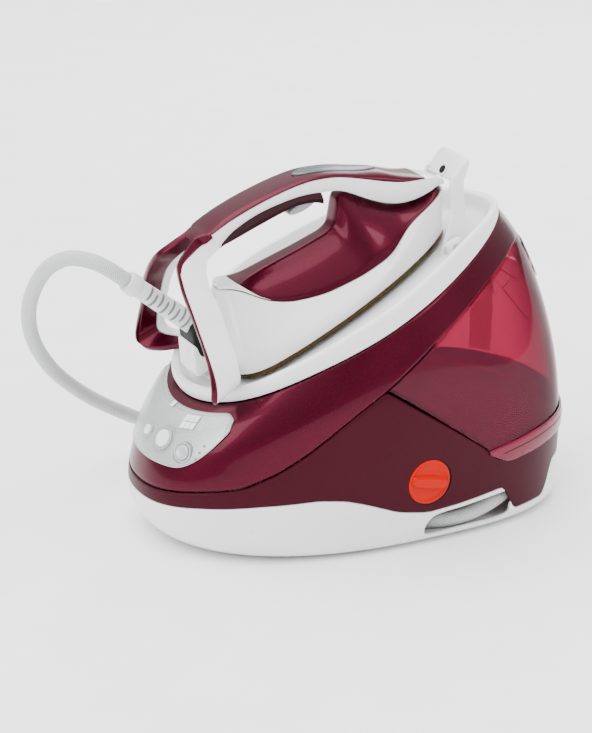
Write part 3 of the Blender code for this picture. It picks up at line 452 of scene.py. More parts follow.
def make_materials():
    return {
        "burgundy": lacquer("burgundy_lacquer", (0.046, 0.0008, 0.0078), (0.08, 0.0018, 0.015), 0.66, 0.28),
        "burgundy_dark": lacquer("burgundy_panel", (0.03, 0.0005, 0.005), (0.045, 0.0008, 0.0076), 0.3, 0.38,
                                 0.03),
        "burgundy_grip": moulded("burgundy_grip", (0.022, 0.0016, 0.0055), 0.45, 1500, 0.25,
                                 Specular_IOR_Level=0.15),
        "white": moulded("white_plastic", (0.78, 0.78, 0.79), 0.3, 900, 0.05, Coat_Weight=0.3,
                         Coat_Roughness=0.12),
        "white_tray": moulded("white_tray", (0.8, 0.8, 0.81), 0.42, 900, 0.1),
        "silver": lacquer("silver_panel", (0.4, 0.41, 0.42), (0.54, 0.55, 0.56), 0.45, 0.36),
        "grey": moulded("grey_plastic", (0.3, 0.32, 0.33), 0.35, 1200, 0.1),
        "inlay": lacquer("inlay_silver", (0.085, 0.098, 0.098), (0.125, 0.14, 0.14), 0.5, 0.34),
        "black": moulded("black_plastic", (0.006, 0.006, 0.007), 0.45, 1300, 0.2, Specular_IOR_Level=0.15),
        "rubber": moulded("black_rubber", (0.009, 0.009, 0.009), 0.75, 1600, 0.4, Specular_IOR_Level=0.15),
        "orange": moulded("orange_plastic", (0.46, 0.005, 0.0002), 0.4, 900, 0.05, Coat_Weight=0.08,
                          Coat_Roughness=0.12, Specular_IOR_Level=0.05),
        "sole": metal("sole_coating", (0.06, 0.04, 0.018), 0.3, (1, 1, 1), 500),
        "steel": metal("steel", (0.56, 0.56, 0.57), 0.3, (1, 6, 6)),
        "alloy": metal("cast_alloy", (0.52, 0.52, 0.53), 0.5),
        "copper": metal("copper", (0.65, 0.33, 0.2), 0.3, (1, 8, 8)),
        "board": moulded("circuit_board", (0.02, 0.16, 0.06), 0.4, 700, 0.3),
        "tank": clear_plastic("tank_plastic", (0.47, 0.085, 0.165), (0.07, 0.001, 0.012)),
        "hose": textile("hose_sleeve", (0.36, 0.37, 0.38), (0.66, 0.67, 0.68)),
        "relief": moulded("relief_plastic", (0.66, 0.67, 0.68), 0.5, 1200, 0.2),
        "display": moulded("display_glass", (0.9, 0.91, 0.92), 0.12, 900, 0.02, Coat_Weight=1.0,
                           Coat_Roughness=0.02),
        # This grey serves as print on the panel and as painted shade for the slits of the strain relief.
        "ink_and_slit_shade": moulded("print_and_slit_shade_grey", (0.16, 0.17, 0.18), 0.5),
        "ink_white": moulded("print_white", (0.88, 0.88, 0.89), 0.4),
        "tub": clear_plastic("tub_plastic", (0.34, 0.022, 0.075), (0.1, 0.002, 0.016)),
        "lip": lacquer("lip_plastic", (0.12, 0.003, 0.02), (0.17, 0.0045, 0.03), 0.0, 0.25, 0.6),
        "floor": moulded("floor_white", (0.93, 0.93, 0.93), 0.9, 60, 0.02),
    }


# ---- camera, light, floor

CAMERA_PLACE = (1.6486, -0.8766, 0.8568)
CAMERA_AIM = (-0.0172, -0.0377, 0.1335)


def add_aimed(name, data, place, aim):
    """Puts a camera or a lamp at its place and turns it towards a point."""
    item = new_object(name, data)
    item.location = place
    item.rotation_mode = "QUATERNION"
    item.rotation_quaternion = (Vector(aim) - Vector(place)).to_track_quat("-Z", "Y")
    return item


def make_camera():
    camera = add_aimed("camera", bpy.data.cameras.new("camera"), CAMERA_PLACE, CAMERA_AIM)
    camera.data.lens = 104.7
    camera.data.sensor_width = 36.0
    camera.data.clip_start = 0.05
    camera.data.clip_end = 60.0
    bpy.context.scene.camera = camera


def area_light(name, place, aim, size, size_y, power):
    data = bpy.data.lights.new(name, "AREA")
    data.shape = "RECTANGLE"
    data.size = size
    data.size_y = size_y
    data.energy = power
    add_aimed(name, data, place, aim)


def make_world():
    """A sky that is white above and grey below, so the sides keep their depth."""
    world = bpy.data.worlds.new("studio")
    bpy.context.scene.world = world
    world.use_nodes = True
    tree = world.node_tree
    place = tree.nodes.new("ShaderNodeTexCoord")
    split = tree.nodes.new("ShaderNodeSeparateXYZ")
    ramp = tree.nodes.new("ShaderNodeValToRGB")
    ramp.color_ramp.elements[0].position = 0.0
    ramp.color_ramp.elements[0].color = (0.16, 0.16, 0.16, 1.0)
    ramp.color_ramp.elements[1].position = 0.75
    ramp.color_ramp.elements[1].color = (1.0, 1.0, 1.0, 1.0)
    tree.links.new(place.outputs["Generated"], split.inputs["Vector"])
    tree.links.new(split.outputs["Z"], ramp.inputs["Fac"])
    tree.links.new(ramp.outputs["Color"], tree.nodes["Background"].inputs["Color"])
    tree.nodes["Background"].inputs["Strength"].default_value = 2.0


def make_stage():
    make_world()
    sun = new_object("sky_panel", bpy.data.lights.new("sky_panel", "SUN"))
    sun.data.energy = 4.6
    sun.data.angle = math.radians(70)
    sun.rotation_euler = (math.radians(14), math.radians(-10), 0)
    area_light("front_light", (0.35, -1.9, 0.9), (0, -0.1, 0.12), 0.8, 0.8, 15)
    area_light("side_light", (2.0, 1.5, 1.3), (0, 0.1, 0.15), 0.7, 0.9, 19)
    area_light("back_light", (-1.6, 1.4, 1.2), (0, 0, 0.2), 0.8, 0.8, 13)
    floor = new_object("floor", grid_mesh("floor", [[(x, y, -0.0004) for x in (-30, 30)] for y in (-30, 30)]))
    floor.data.materials.append(M["floor"])


# ---- steam hose

HOSE_R = 0.007
HOSE_START = iron_to_world((0.0, -0.01305, 0.12367))
HOSE_ROUTE = (
    HOSE_START, (-0.0004, -0.2306, 0.265), (-0.0078, -0.2445, 0.2718), (-0.0215, -0.259, 0.2718),
    (-0.04, -0.2712, 0.259), (-0.061, -0.2772, 0.2342), (-0.085, -0.275, 0.202), (-0.1105, -0.2618, 0.164),
    (-0.135, -0.2351, 0.1226), (-0.154, -0.1986, 0.086), (-0.166, -0.161, 0.058), (-0.1735, -0.123, 0.035),
    (-0.178, -0.085, 0.018), (-0.178, -0.045, 0.0092), (-0.17, -0.005, 0.0088), (-0.157, 0.03, 0.011),
    (-0.14, 0.06, 0.017), (-0.1215, 0.088, 0.0225), (-0.106, 0.118, 0.027), (-0.085, 0.148, 0.03),
    (-0.048, 0.174, 0.031), (0.0, 0.181, 0.031), (0.048, 0.174, 0.031), (0.088, 0.149, 0.0305),
    (0.1095, 0.12, 0.0268), (0.118, 0.091, 0.02), (0.1195, 0.064, 0.0152), (0.115, 0.039, 0.0143),
    (0.103, 0.018, 0.0138), (0.083, 0.006, 0.0136), (0.061, 0.007, 0.0136), (0.043, 0.021, 0.0136),
    (0.035, 0.046, 0.0136), (0.034, 0.085, 0.0136), (0.026, 0.125, 0.0136), (0.0, 0.153, 0.0136),
    (-0.038, 0.156, 0.0136), (-0.068, 0.133, 0.0136), (-0.079, 0.098, 0.0136), (-0.08, 0.055, 0.0136),
    (-0.08, 0.005, 0.0136), (-0.074, -0.04, 0.0136), (-0.051, -0.075, 0.0136), (-0.014, -0.092, 0.0136),
    (0.02, -0.094, 0.0136), (0.045, -0.094, 0.0136))


def even_points(points, step):
    """Points at equal steps along a dense line, and the line's length."""
    lengths = [0.0]
    for a, b in zip(points, points[1:]):
        lengths.append(lengths[-1] + (b - a).length)
    count = int(lengths[-1] / step) + 1
    result = []
    for k in range(count):
        place = lengths[-1] * k / (count - 1)
        i = min(int(np.searchsorted(lengths, place, side="right")) - 1, len(points) - 2)
        share = (place - lengths[i]) / max(lengths[i + 1] - lengths[i], 1e-9)
        result.append(points[i].lerp(points[i + 1], share))
    return result, lengths[-1]


def tube_rings(points, radius, sides):
    """Rings round a line, carried along without twist."""
    rings = []
    across = None
    for i, point in enumerate(points):
        along = (points[min(i + 1, len(points) - 1)] - points[max(i - 1, 0)]).normalized()
        if across is None:
            across = along.orthogonal().normalized()
        across = (across - along * across.dot(along)).normalized()
        rings.append(circle(point, across, along.cross(across), radius, sides))
    return rings


def add_tube_uv(mesh, sides, rows, length, girth):
    """UVs in metres along and round the tube, so a weave has its real scale."""
    layer = mesh.uv_layers.new(name="UVMap")
    for face in mesh.polygons:
        if len(face.vertices) != 4:
            continue
        places = [(v // sides, v % sides) for v in face.vertices]
        wraps = max(c for _, c in places) - min(c for _, c in places) > 1
        for loop, (row, column) in zip(face.loop_indices, places):
            around = sides if wraps and column == 0 else column
            layer.data[loop].uv = (row / (rows - 1) * length, around / sides * girth)


def make_hose():
    points, length = even_points(spline(HOSE_ROUTE, 24), 0.004)
    sides = 24
    mesh = solid_mesh("hose_sleeve", tube_rings(points, HOSE_R, sides))
    add_tube_uv(mesh, sides, len(points), length, 2 * math.pi * HOSE_R)
    hose = new_object("hose_sleeve", mesh)
    hose.data.materials.append(M["hose"])
    hose.data.shade_smooth()
    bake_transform(hose)
    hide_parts("steam_hose")


# ---- base station

def pan_ring(angle, share, inset):
    x0, y0 = plan_point(angle, *FOOT_PLAN, inset)
    x1, y1 = plan_point(angle, *level_plan(0.0), inset)
    top = 0.014 + 0.028 * max(0.0, -math.sin(angle)) ** 3
    out, up = math.sin(share * math.pi / 2), 1 - math.cos(share * math.pi / 2)
    return Vector((x0 + (x1 - x0) * out, y0 + (y1 - y0) * out,
                   FOOT_Z + (top - FOOT_Z) * up + inset * (1 - up)))


def seam_height(angle):
    return joint_height(angle, SEAM, 0.04, 0.005)


HOSE_SLOT = (
    (0.02, 0.0105), (0.06, 0.0103), (0.105, 0.0108), (0.1125, 0.02), (0.112, 0.034), (0.1, 0.035),
    (0.06, 0.0312), (0.027, 0.027))
PAN_WALL = 0.0025


def make_pan():
    angles = body_angles()
    shares = [k / 10 for k in range(11)]
    rings = [[pan_ring(a, s, 0.0) for a in angles] for s in shares]
    bends = {a: pan_ring(a, 1.0, 0.0).z for a in angles}
    for k in range(1, 6):
        rings.append([skin_at_height(a, bends[a] + (seam_height(a) - 0.0006 - bends[a]) * k / 5)
                      for a in angles])
    rings += [[skin_at_height(a, seam_height(a), inset) for a in angles] for inset in (0.0007, PAN_WALL)]
    rings += [[pan_ring(a, s, PAN_WALL) for a in angles] for s in reversed(shares)]
    pan = solid("pan_skin", rings)
    slot = flat_spline(HOSE_SLOT, 6, True)
    cut(pan, prism("slot_near", slot, 0.02, 0.125))
    cut(pan, prism("slot_far", slot, 0.02, -0.125))
    cut(pan, block("inlet_hole", (-0.062, 0.19, 0.0165), (-0.034, 0.22, 0.0335)))
    finish(pan, "white", "base", ("base_pan",), 40)


COVER_WALL = 0.0022


def panel_ring(name, angles, lows, highs, rows=26):
    """A shell on the skin between two heights at each angle, with its edges rolled inwards."""
    edge = ((0.0, 0.0016), (0.00015, 0.0007), (0.0005, 0.0002), (0.0012, 0.0))
    sheet = [[skin_at_height(a, lows[a] + lift, inset) for a in angles] for lift, inset in edge]
    for k in range(1, rows):
        share = k / rows
        sheet.append([skin_at_height(a, lows[a] + 0.0012 + (highs[a] - lows[a] - 0.0024) * share)
                      for a in angles])
    sheet += [[skin_at_height(a, highs[a] - lift, inset) for a in angles] for lift, inset in reversed(edge)]
    return thicken(new_object(name, grid_mesh(name, sheet, wrap_columns=True)), COVER_WALL)


def make_side_cover():
    angles = body_angles()
    tops = {a: joint_height(a, CREASE + TANK_BOTTOM[1:], 0.1, 0.003) - 0.0004 for a in angles}
    lows = {a: seam_height(a) + 0.0003 for a in angles}
    side = panel_ring("side_skin", angles, lows, tops)
    y, z = COLLECTOR
    hole = COLLECTOR_R + 0.0013
    cut(side, turned("hole", (0.1, y, z), (1, 0, 0), ((0.0, hole), (0.05, hole)), 96))
    finish(side, "burgundy_dark", "base", ("side_cover",), 40)


def make_upper_cover():
    angles = body_angles()
    lows = {a: joint_height(a, CREASE + TANK_TOP[1:], 0.15, 0.003) + 0.0004 for a in angles}
    highs = {a: rim_z(a) - 0.0006 for a in angles}
    upper = panel_ring("upper_skin", angles, lows, highs)
    for _, angle, level, radius, _, _, _ in BUTTONS:
        centre, out, _, _ = button_frame(angle, level)
        pocket = ((0.0, radius + 0.0008), (0.02, radius + 0.0008))
        cut(upper, turned("button_pocket", centre - out * 0.012, out, pocket, 48))
    finish(upper, "burgundy", "base", ("upper_cover",), 40)


def tray_point(angle, inset, rise, share, lift):
    """A point of the tray: share follows the swell of the rim, lift is the part of the wall's height."""
    x, y = plan_point(angle, *level_plan(1.0), inset)
    turn = side_turn(angle)
    rise += lift * smooth(turn, WALL_TURN, WALL_RISE)
    z = rim_height(y) + share * smooth(turn, RIM_TURN, RIM_RISE)
    return Vector((x, y - rise * math.sin(SLOPE), z + rise * math.cos(SLOPE)))


def make_tray():
    angles = body_angles()
    section = ((0.0135, 0.001, 0, 0), (0.006, 0.001, 0.9, 0), (0.0012, 0.0009, 1, 0.0),
               (-0.0002, 0.0009, 1, 0.04), (-0.0012, 0.0008, 1, 0.3), (-0.0015, 0.0008, 1, 0.62),
               (-0.0006, 0.0008, 1, 0.86), (0.0012, 0.0008, 1, 0.98), (0.0034, 0.0008, 1, 1.0),
               (0.0056, 0.0008, 1, 0.94), (0.0076, 0.0012, 0.75, 0.7), (0.0096, 0.0022, 0.4, 0.36),
               (0.0122, 0.0038, 0.05, 0.02), (0.017, 0.0032, 0, 0))
    rows = [[tray_point(a, *place) for a in angles] for place in even_sections(section, 4)]
    finish(solid("tray_skin", rows), "white_tray", "base", ("iron_rest",), 45)


KEPT = {"rubber": ("foot_1", "foot_2", "foot_3", "foot_4", "rest_pad_right", "rest_pad_left", "rest_pad_nose",
                   "collector_seal"),
        "black": ("tank_coupler", "collector_socket", "steam_valve", "mains_inlet"),
        "steel": ("boiler", "water_pump", "bail_pin_right", "bail_pin_left", "hose_gland", "collector_rod",
                  "trigger_pin"),
        "copper": ("heating_element",),
        "alloy": ("steam_chamber",),
        "board": ("control_board",),
        "white_tray": ("rest_plateau", "bail_bearing_right", "bail_bearing_left")}


def make_kept_nodes():
    """CAD nodes whose shape is right keep it and take a better material."""
    for shade, names in KEPT.items():
        for name in names:
            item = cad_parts[name]
            item.data.materials.clear()
            item.data.materials.append(M[shade])


# ---- control panel

BUTTONS = (("steam_button", -81, 0.7, 0.0085, "white", "steam_key", "white_plastic"),
           ("eco_button", -92, 0.69, 0.0052, "white", "eco_key", "white_plastic"),
           ("power_button", -69, 0.64, 0.0072, "silver", "power_key", "grey_plastic"))


def panel_low(angle):
    spread = abs(math.degrees(angle) + 90)
    return 0.515 + 0.285 * max(0.0, (spread - 18) / 19) ** 1.9


def panel_high(angle):
    spread = abs(math.degrees(angle) + 90)
    return 0.945 - 0.015 * (spread / 37) ** 2 - 0.055 * max(0.0, (spread - 31) / 6) ** 2


def panel_patch(name, first, last, low, high, proud, inner, shade, body="base", columns=64, rows=24,
                edge=0.0012, **extra):
    """A plate on the skin with a rolled edge all round."""
    def lifted(u, v, lift=0.0):
        angle = math.radians(first + (last - first) * u)
        level = low(angle) + (high(angle) - low(angle)) * v
        return skin_point(angle, level, -lift)

    def places(roll, count):
        """Share along one direction and lift at each line of points."""
        shares = [0, 0, roll * 0.3] + [roll + (1 - 2 * roll) * k / count for k in range(count + 1)]
        rim = [inner, proud - edge, proud - edge * 0.3]
        lifts = rim + [proud] * (count + 1) + list(reversed(rim))
        return list(zip(shares + [1 - roll * 0.3, 1, 1], lifts))

    width = (lifted(1, 0.5) - lifted(0, 0.5)).length
    height = (lifted(0.5, 1) - lifted(0.5, 0)).length
    across, upward = places(edge / width, columns), places(edge / height, rows)
    grid = [[lifted(u, v, min(du, dv)) for u, du in across] for v, dv in upward]
    finish(new_object(name, grid_mesh(name, grid)), shade, body, **extra)


def button_frame(angle_deg, level):
    angle = math.radians(angle_deg)
    centre = skin_point(angle, level)
    along = skin_point(angle + 0.02, level) - centre
    up = skin_point(angle, level + 0.02) - centre
    return centre, along.cross(up).normalized(), along.normalized(), up.normalized()


def make_button(name, angle, level, radius, shade, body, slot):
    centre, out, _, _ = button_frame(angle, level)
    profile = ((-0.0015, radius), (0.0034, radius), (0.0043, radius * 0.96), (0.0049, radius * 0.88),
               (0.0051, radius * 0.75), (0.0046, radius * 0.6), (0.0043, radius * 0.3),
               (0.0042, radius * 0.05))
    cap = round_solid(name + "_cap", centre, out, profile, 48)
    finish(cap, shade, body, (name,), 50, slot)
    ring = ((0.002, radius + 0.0005), (0.0036, radius + 0.0006), (0.0039, radius + 0.0012),
            (0.0036, radius + 0.0019), (0.002, radius + 0.0021))
    finish(round_solid(name + "_bezel", centre, out, ring, 48), "silver", "base", (), 50)


def mark(name, angle, level, outline, lift, shade, inner=None):
    """A thin printed mark on the panel, in metres along and up the surface; inner makes it a ring."""
    centre, out, along, up = button_frame(angle, level)

    def raised(points, height):
        return [centre + along * u + up * v + out * height for u, v in points]

    rows = [raised(outline, lift), raised(outline, lift + 0.00018)]
    if inner:
        rows += [raised(inner, lift + 0.00018), raised(inner, lift)]
    mesh = grid_mesh(name, rows, wrap_columns=True, wrap_rows=bool(inner), caps=not inner)
    finish(new_object(name, mesh), shade, "base", slot=None)


def oval(wide, tall, count=48):
    turns = [2 * math.pi * k / count for k in range(count)]
    return [(wide * math.cos(a), tall * math.sin(a)) for a in turns]


def bar(width, height, cx=0.0, cy=0.0):
    corners = ((-1, -1), (1, -1), (1, 1), (-1, 1))
    return [(cx + side * width / 2, cy + end * height / 2) for side, end in corners]


def panel_border(name, proud):
    """A fine grey line just inside the panel's edge."""
    first, last = PANEL_SPAN
    outer, inner = [], []
    for side in range(4):
        for k in range(40):
            share = k / 40
            u, v = ((share, 0), (1, share), (1 - share, 1), (0, 1 - share))[side]
            for line, edge in ((outer, 0.022), (inner, 0.029)):
                a = math.radians(first + (last - first) * (edge * 0.75 + (1 - edge * 1.5) * u))
                low, high = panel_low(a), panel_high(a)
                level = low + (high - low) * (edge * 1.6 + (1 - edge * 3.2) * v)
                line.append(skin_point(a, level, -proud))
    down = Vector((0, 0, -0.0003))
    rows = [outer, inner, [p + down for p in inner], [p + down for p in outer]]
    mesh = grid_mesh(name, rows, wrap_columns=True, wrap_rows=True)
    finish(new_object(name, mesh), "grey", "base", slot=None)


def make_panel():
    panel_patch("panel_skin", *PANEL_SPAN, panel_low, panel_high, 0.0024, 0.0006, "silver",
                replaces=("control_panel",))
    panel_patch("display_glass", -79, -65, lambda a: 0.8, lambda a: 0.905, 0.0028, 0.002, "silver",
                columns=20, rows=6, edge=0.0008, replaces=("display_window",), slot="display_gloss")
    panel_border("panel_border", 0.00255)
    for name, angle, level, radius, shade, body, slot in BUTTONS:
        make_button(name, angle, level, radius, shade, body, slot)
    mark("steam_oval", -81, 0.7, oval(0.0125, 0.014), 0.0024, "grey", oval(0.0121, 0.0136))
    mark("power_ring", -69, 0.64, oval(0.01, 0.01), 0.0024, "ink_and_slit_shade", oval(0.0092, 0.0092))
    for number, (v, u) in enumerate(itertools.product((0.0038, -0.0036), (-0.0058, 0.0, 0.0058))):
        mark(f"display_segment_{number}", -72, 0.855, bar(0.0052, 0.0066, u, v), 0.0029, "display")
    mark("lock_patch", -89, 0.92, bar(0.005, 0.0065), 0.0024, "display")
    for number, level in enumerate((0.6, 0.65, 0.7)):
        mark(f"lamp_{number}", -63 + number, level, oval(0.0011, 0.0011, count=16), 0.0024, "ink_and_slit_shade")
    mark("steam_line", -77, 0.765, bar(0.012, 0.0004, 0.001, 0.001), 0.0024, "grey")


# ---- water tank

LIP_LOW = ((0.084, 0.0778), (0.092, 0.0725), (0.102, 0.0668), (0.125, 0.0668), (0.16, 0.07), (0.21, 0.0735))
LIP_HIGH = ((0.084, 0.0795), (0.092, 0.0808), (0.102, 0.082), (0.125, 0.0845), (0.16, 0.088), (0.21, 0.09))
TUB_EDGE = (
    (-0.035, 0.18), (0.0, 0.1815), (0.026, 0.1805), (0.0516, 0.1777), (0.078, 0.1725), (0.1035, 0.1643),
    (0.123, 0.155), (0.138, 0.144), (0.148, 0.132), (0.155, 0.118), (0.1625, 0.0985), (0.17, 0.07))


def tank_outline(margin):
    """Side outline of the tank with rounded joint lines."""
    top = [(y, rounded(y, TANK_TOP, 0.003) - margin / math.cos(0.55)) for y in np.linspace(-0.012, 0.225, 60)]
    bottom = [(y, rounded(y, TANK_BOTTOM, 0.003) + margin * 1.25) for y in np.linspace(0.0, 0.225, 60)]
    slant, fall = math.atan2(0.038, 0.06), math.atan2(0.074, 0.102)
    tip = (TANK_TOP[0][0] + margin / math.sin((slant + fall) / 2), TANK_TOP[0][1])
    top = [(y, z) for y, z in top if y > tip[0] + 0.002]
    bottom = [(y, z) for y, z in bottom if y > tip[0] + 0.002]
    return [tip] + bottom + list(reversed(top))


def form(name, inset, low, high, rows=30):
    levels = [low + (high - low) * k / rows for k in range(rows + 1)]
    angles = body_angles()
    return solid_mesh(name, [[skin_point(a, level, inset) for a in angles] for level in levels])


def make_tank():
    tank = new_object("tank_shell", form("tank_shell", 0.0, 0.02, 0.985))
    cut(tank, prism("wedge", tank_outline(0.001), 0.2), "INTERSECT")
    hollow = new_object("hollow", form("hollow", 0.0024, 0.03, 0.965))
    cut(hollow, prism("wedge_in", tank_outline(0.0036), 0.2), "INTERSECT")
    cut(tank, hollow.data)
    bpy.data.objects.remove(hollow, do_unlink=True)
    cut(tank, block("fill_hole", (-0.024, 0.15, 0.205), (0.024, 0.25, 0.228)))
    finish(tank, "tank", "tank", ("water_tank",), 30)
    make_tank_inside()
    panel_patch("flap_skin", 73, 107, lambda a: 0.725, lambda a: 0.865, 0.0015, 0.0003, "tank", "flap",
                30, 14, replaces=("tank_flap",))
    band_patch("lip_skin", 13, 167, LIP_LOW, LIP_HIGH, 0.0024, 0.0007, "lip", ("tank_lip",))
    # The groove along the lip is a dark strip laid on the lip's face, a hair proud of it: painted shade of
    # the groove, not a cut.
    groove = [[(y, z - 0.0062 - rise) for y, z in LIP_HIGH[1:]] for rise in (0.0014, 0.0)]
    band_patch("lip_groove_shade", 17, 163, *groove, 0.00255, 0.0015, "burgundy_dark")
    grip = [((0, z), (1, z)) for z in (0.05, 0.092)]
    band_patch("grip_skin", 84, 96, *grip, 0.0062, 0.003, "burgundy_dark", ("tank_grip",), 24)


def tank_sheet(name, outline, inset, thickness, shade):
    """A thin sheet inside the tank that follows its wall, cut to a side outline."""
    sheet = new_object(name, form(name, inset, 0.03, 0.96))
    cut(sheet, prism(name + "_shape", outline, 0.2), "INTERSECT")
    cut(sheet, prism(name + "_wedge", tank_outline(0.0045), 0.2), "INTERSECT")
    cut(sheet, form(name + "_inner", inset + thickness, 0.02, 0.97))
    finish(sheet, shade, "tank", (), 30, "burgundy_dark")


def make_tank_inside():
    """The deeper tub behind the wall, the filling chute and the two moulded ribs."""
    tub = flat_spline(TUB_EDGE, 6) + [(0.168, 0.066), (0.08, 0.066), (-0.03, 0.15)]
    tank_sheet("tank_tub", tub, 0.0042, 0.0012, "tub")
    tank_sheet("tank_chute", ((0.0905, 0.2482), (0.1116, 0.245), (0.1129, 0.2142)), 0.0052, 0.001, "tub")
    for name, line in (("tank_rib_upper", ((0.101, 0.251), (0.149, 0.2172))),
                       ("tank_rib_lower", ((0.101, 0.245), (0.1555, 0.1792)))):
        (y0, z0), (y1, z1) = line
        tank_sheet(name, ((y0, z0), (y1, z1), (y1, z1 - 0.0014), (y0, z0 - 0.0014)), 0.0034, 0.001, "tub")
    for side, first in (("right", 60), ("left", 109)):
        panel_patch(f"tank_corner_{side}", first, first + 11, lambda a: 0.27, lambda a: 0.88, -0.0032,
                    -0.0044, "tub", "tank", 12, 60, 0.0008, slot=None)
    level = ((0.1182, 0.217), (0.1383, 0.2216), (0.1383, 0.221), (0.1182, 0.2164))
    tank_sheet("level_line", level, 0.0026, 0.0004, "ink_white")


def band_patch(name, first, last, lows, highs, proud, inner, shade, replaces=(), columns=140):
    """A closed band on the tank's skin with rounded edges; lows and highs give its heights along Y."""
    angles = [math.radians(first + (last - first) * k / columns) for k in range(columns + 1)]
    rows = []
    for a in angles:
        y = skin_at_height(a, lows[-1][1]).y
        low, high = table_at(lows, y, 1), table_at(highs, y, 1)
        roll = min(0.0012, (high - low) / 3)
        section = ((low, inner), (low, proud - 0.0012), (low + roll / 3, proud - 0.0003),
                   (low + roll, proud), (high - roll, proud), (high - roll / 3, proud - 0.0003),
                   (high, proud - 0.0012), (high, inner))
        rows.append([skin_at_height(a, z, -lift) for z, lift in section])
    finish(solid(name, rows), shade, "tank", replaces, 40)


def make_deck():
    """The dark tub floor that shows through the tank."""
    top = [(-0.03, 0.163), (-0.019, 0.1548), (0.081, 0.0805), (0.092, 0.069), (0.195, 0.0708)]
    outline = [(y, z - 0.0012) for y, z in top] + [(y, z - 0.004) for y, z in reversed(top)]
    deck = new_object("tub_floor", prism("tub_floor", outline, 0.2))
    cut(deck, form("deck_trim", 0.0035, 0.0, 0.98), "INTERSECT")
    finish(deck, "tub", "base", ("tank_deck",), 30)


# ---- calc collector

def make_collector():
    y, z = COLLECTOR
    r = COLLECTOR_R
    profile = ((0.0, r - 0.001), (0.001, r), (0.0058, r), (0.0068, r - 0.0005), (0.0072, r - 0.0014),
               (0.007, r - 0.0024), (0.0062, r - 0.0034), (0.006, r - 0.006), (0.006, 0.001))
    cap = round_solid("collector_knob", (0.1262, y, z), (1, 0, 0), profile, 96)
    finish(cap, "orange", "collector_knob", ("collector_cap",), 40)
    turn = Matrix.Translation((0, y, z)) @ Matrix.Rotation(math.radians(-12), 4, "X")
    rows = []
    for k in range(25):
        share = -1 + 2 * k / 24
        along = share * 0.0192
        wide = 0.0052 * (1 - 0.35 * share ** 2)
        high = 0.1322 + 0.005 * math.sqrt(max(0.0, 1 - share ** 6))
        section = ((wide + 0.0012, 0.1315), (wide, (0.1322 + high) / 2), (wide * 0.82, high - 0.0002),
                   (wide * 0.4, high + 0.0002))
        ring = [Vector((x, along, s)) for s, x in section] + [Vector((x, along, -s)) for s,
                                                              x in reversed(section)]
        rows.append([turn @ p for p in ring])
    finish(solid("collector_grip", rows), "orange", "collector_knob", (), 50)
    ring = ((0.0, r + 0.0013), (0.0064, r + 0.0013))
    seat = round_solid("collector_gap", (0.1256, y, z), (1, 0, 0), ring, 96)
    cut(seat, turned("inner", (0.12, y, z), (1, 0, 0), ((0.0, r + 0.0004), (0.03, r + 0.0004)), 96))
    finish(seat, "black", "base", (), 40)


# ---- lock bail

BAIL_PATH = (
    (0.264, -0.005, 0.0335, 0.0105), (0.266, -0.003, 0.0335, 0.014), (0.2715, 0.003, 0.0335, 0.0165),
    (0.279, 0.009, 0.0328, 0.019), (0.2888, 0.0205, 0.03, 0.0172), (0.2965, 0.0325, 0.0265, 0.0148),
    (0.303, 0.048, 0.024, 0.0155), (0.3088, 0.056, 0.023, 0.015))


def make_bail():
    for sign, side in ((1, "right"), (-1, "left")):
        rows = []
        for y, z, x, width in even_sections(BAIL_PATH, 6):
            half, thick = width / 2, 0.0023
            section = ((thick, -half + 0.001), (thick * 0.6, -half), (-thick * 0.6, -half),
                       (-thick, -half + 0.001), (-thick, half - 0.001), (-thick * 0.6, half),
                       (thick * 0.6, half), (thick, half - 0.001))
            rows.append([iron_to_world((sign * (x + a), y + b, z)) for a, b in section])
        finish(solid(f"bail_arm_{side}", rows), "white", "bail", (), 40)
    make_bail_tab()
    make_bail_boss()


def make_bail_tab():
    """The bar between the arms with its thumb tab, drooping a little towards both ends."""
    outline = flat_spline(((0.3002, 0.0532), (0.303, 0.05), (0.308, 0.0482), (0.313, 0.0486),
                           (0.3182, 0.0556), (0.3228, 0.0615), (0.3238, 0.0645), (0.3218, 0.0666),
                           (0.3188, 0.066), (0.31, 0.0602)), 5, True)
    cy, cz = 0.311, 0.057
    rows = []
    for k in range(25):
        share = -1 + 2 * k / 24
        drop = 0.003 * abs(share) ** 3
        shrink = 1 - 0.12 * abs(share) ** 8
        rows.append([iron_to_world((share * 0.0246, cy + (y - cy) * shrink, cz + (z - cz) * shrink - drop
                                    * (z - 0.048) / 0.019)) for y, z in outline])
    finish(solid("bail_tab", rows), "white", "bail", ("lock_bail",), 50)


def make_bail_boss():
    """The round catch in the middle of the bar, with a dark recess for the iron's nose."""
    tilt = Matrix.Rotation(SLOPE, 3, "X")
    out = tilt @ Vector((0, -0.565, 0.825))
    centre = iron_to_world((0.003, 0.3044, 0.0567))
    ring = ((-0.003, 0.0068), (0.0004, 0.0068), (0.0012, 0.0062), (0.0014, 0.0054), (0.001, 0.0046),
            (0.001, 0.0002))
    finish(round_solid("bail_boss", centre, out, ring, 48), "white", "bail", (), 40)
    hole = ((0.0006, 0.004), (0.0014, 0.004), (0.00145, 0.0036), (0.0012, 0.0002))
    finish(round_solid("bail_recess", centre, out, hole, 40), "black", "bail", (), 40)


# ---- iron

SOLE_PLAN = (0.0605, 0.284, 0.03, 0.09, 1.7, 3.5)
SKIRT_TOP = (
    (0.055, 0.0715), (0.066, 0.0712), (0.073, 0.0685), (0.078, 0.061), (0.086, 0.052), (0.096, 0.045),
    (0.108, 0.0386), (0.137, 0.0305), (0.155, 0.028), (0.181, 0.0255), (0.212, 0.0262), (0.224, 0.031),
    (0.235, 0.038), (0.25, 0.0418), (0.3, 0.043))
SKIRT_PLAN = (0.042, 0.2975, 0.058, 0.15, 2.0, 2.0)


def sole_point(angle, z, inset=0.0):
    half_width, nose, heel, middle, nose_round, heel_round = SOLE_PLAN
    x, y = plan_point(-angle, half_width, -nose, -heel, -middle, nose_round, heel_round, inset)
    return Vector((x, -y, z))


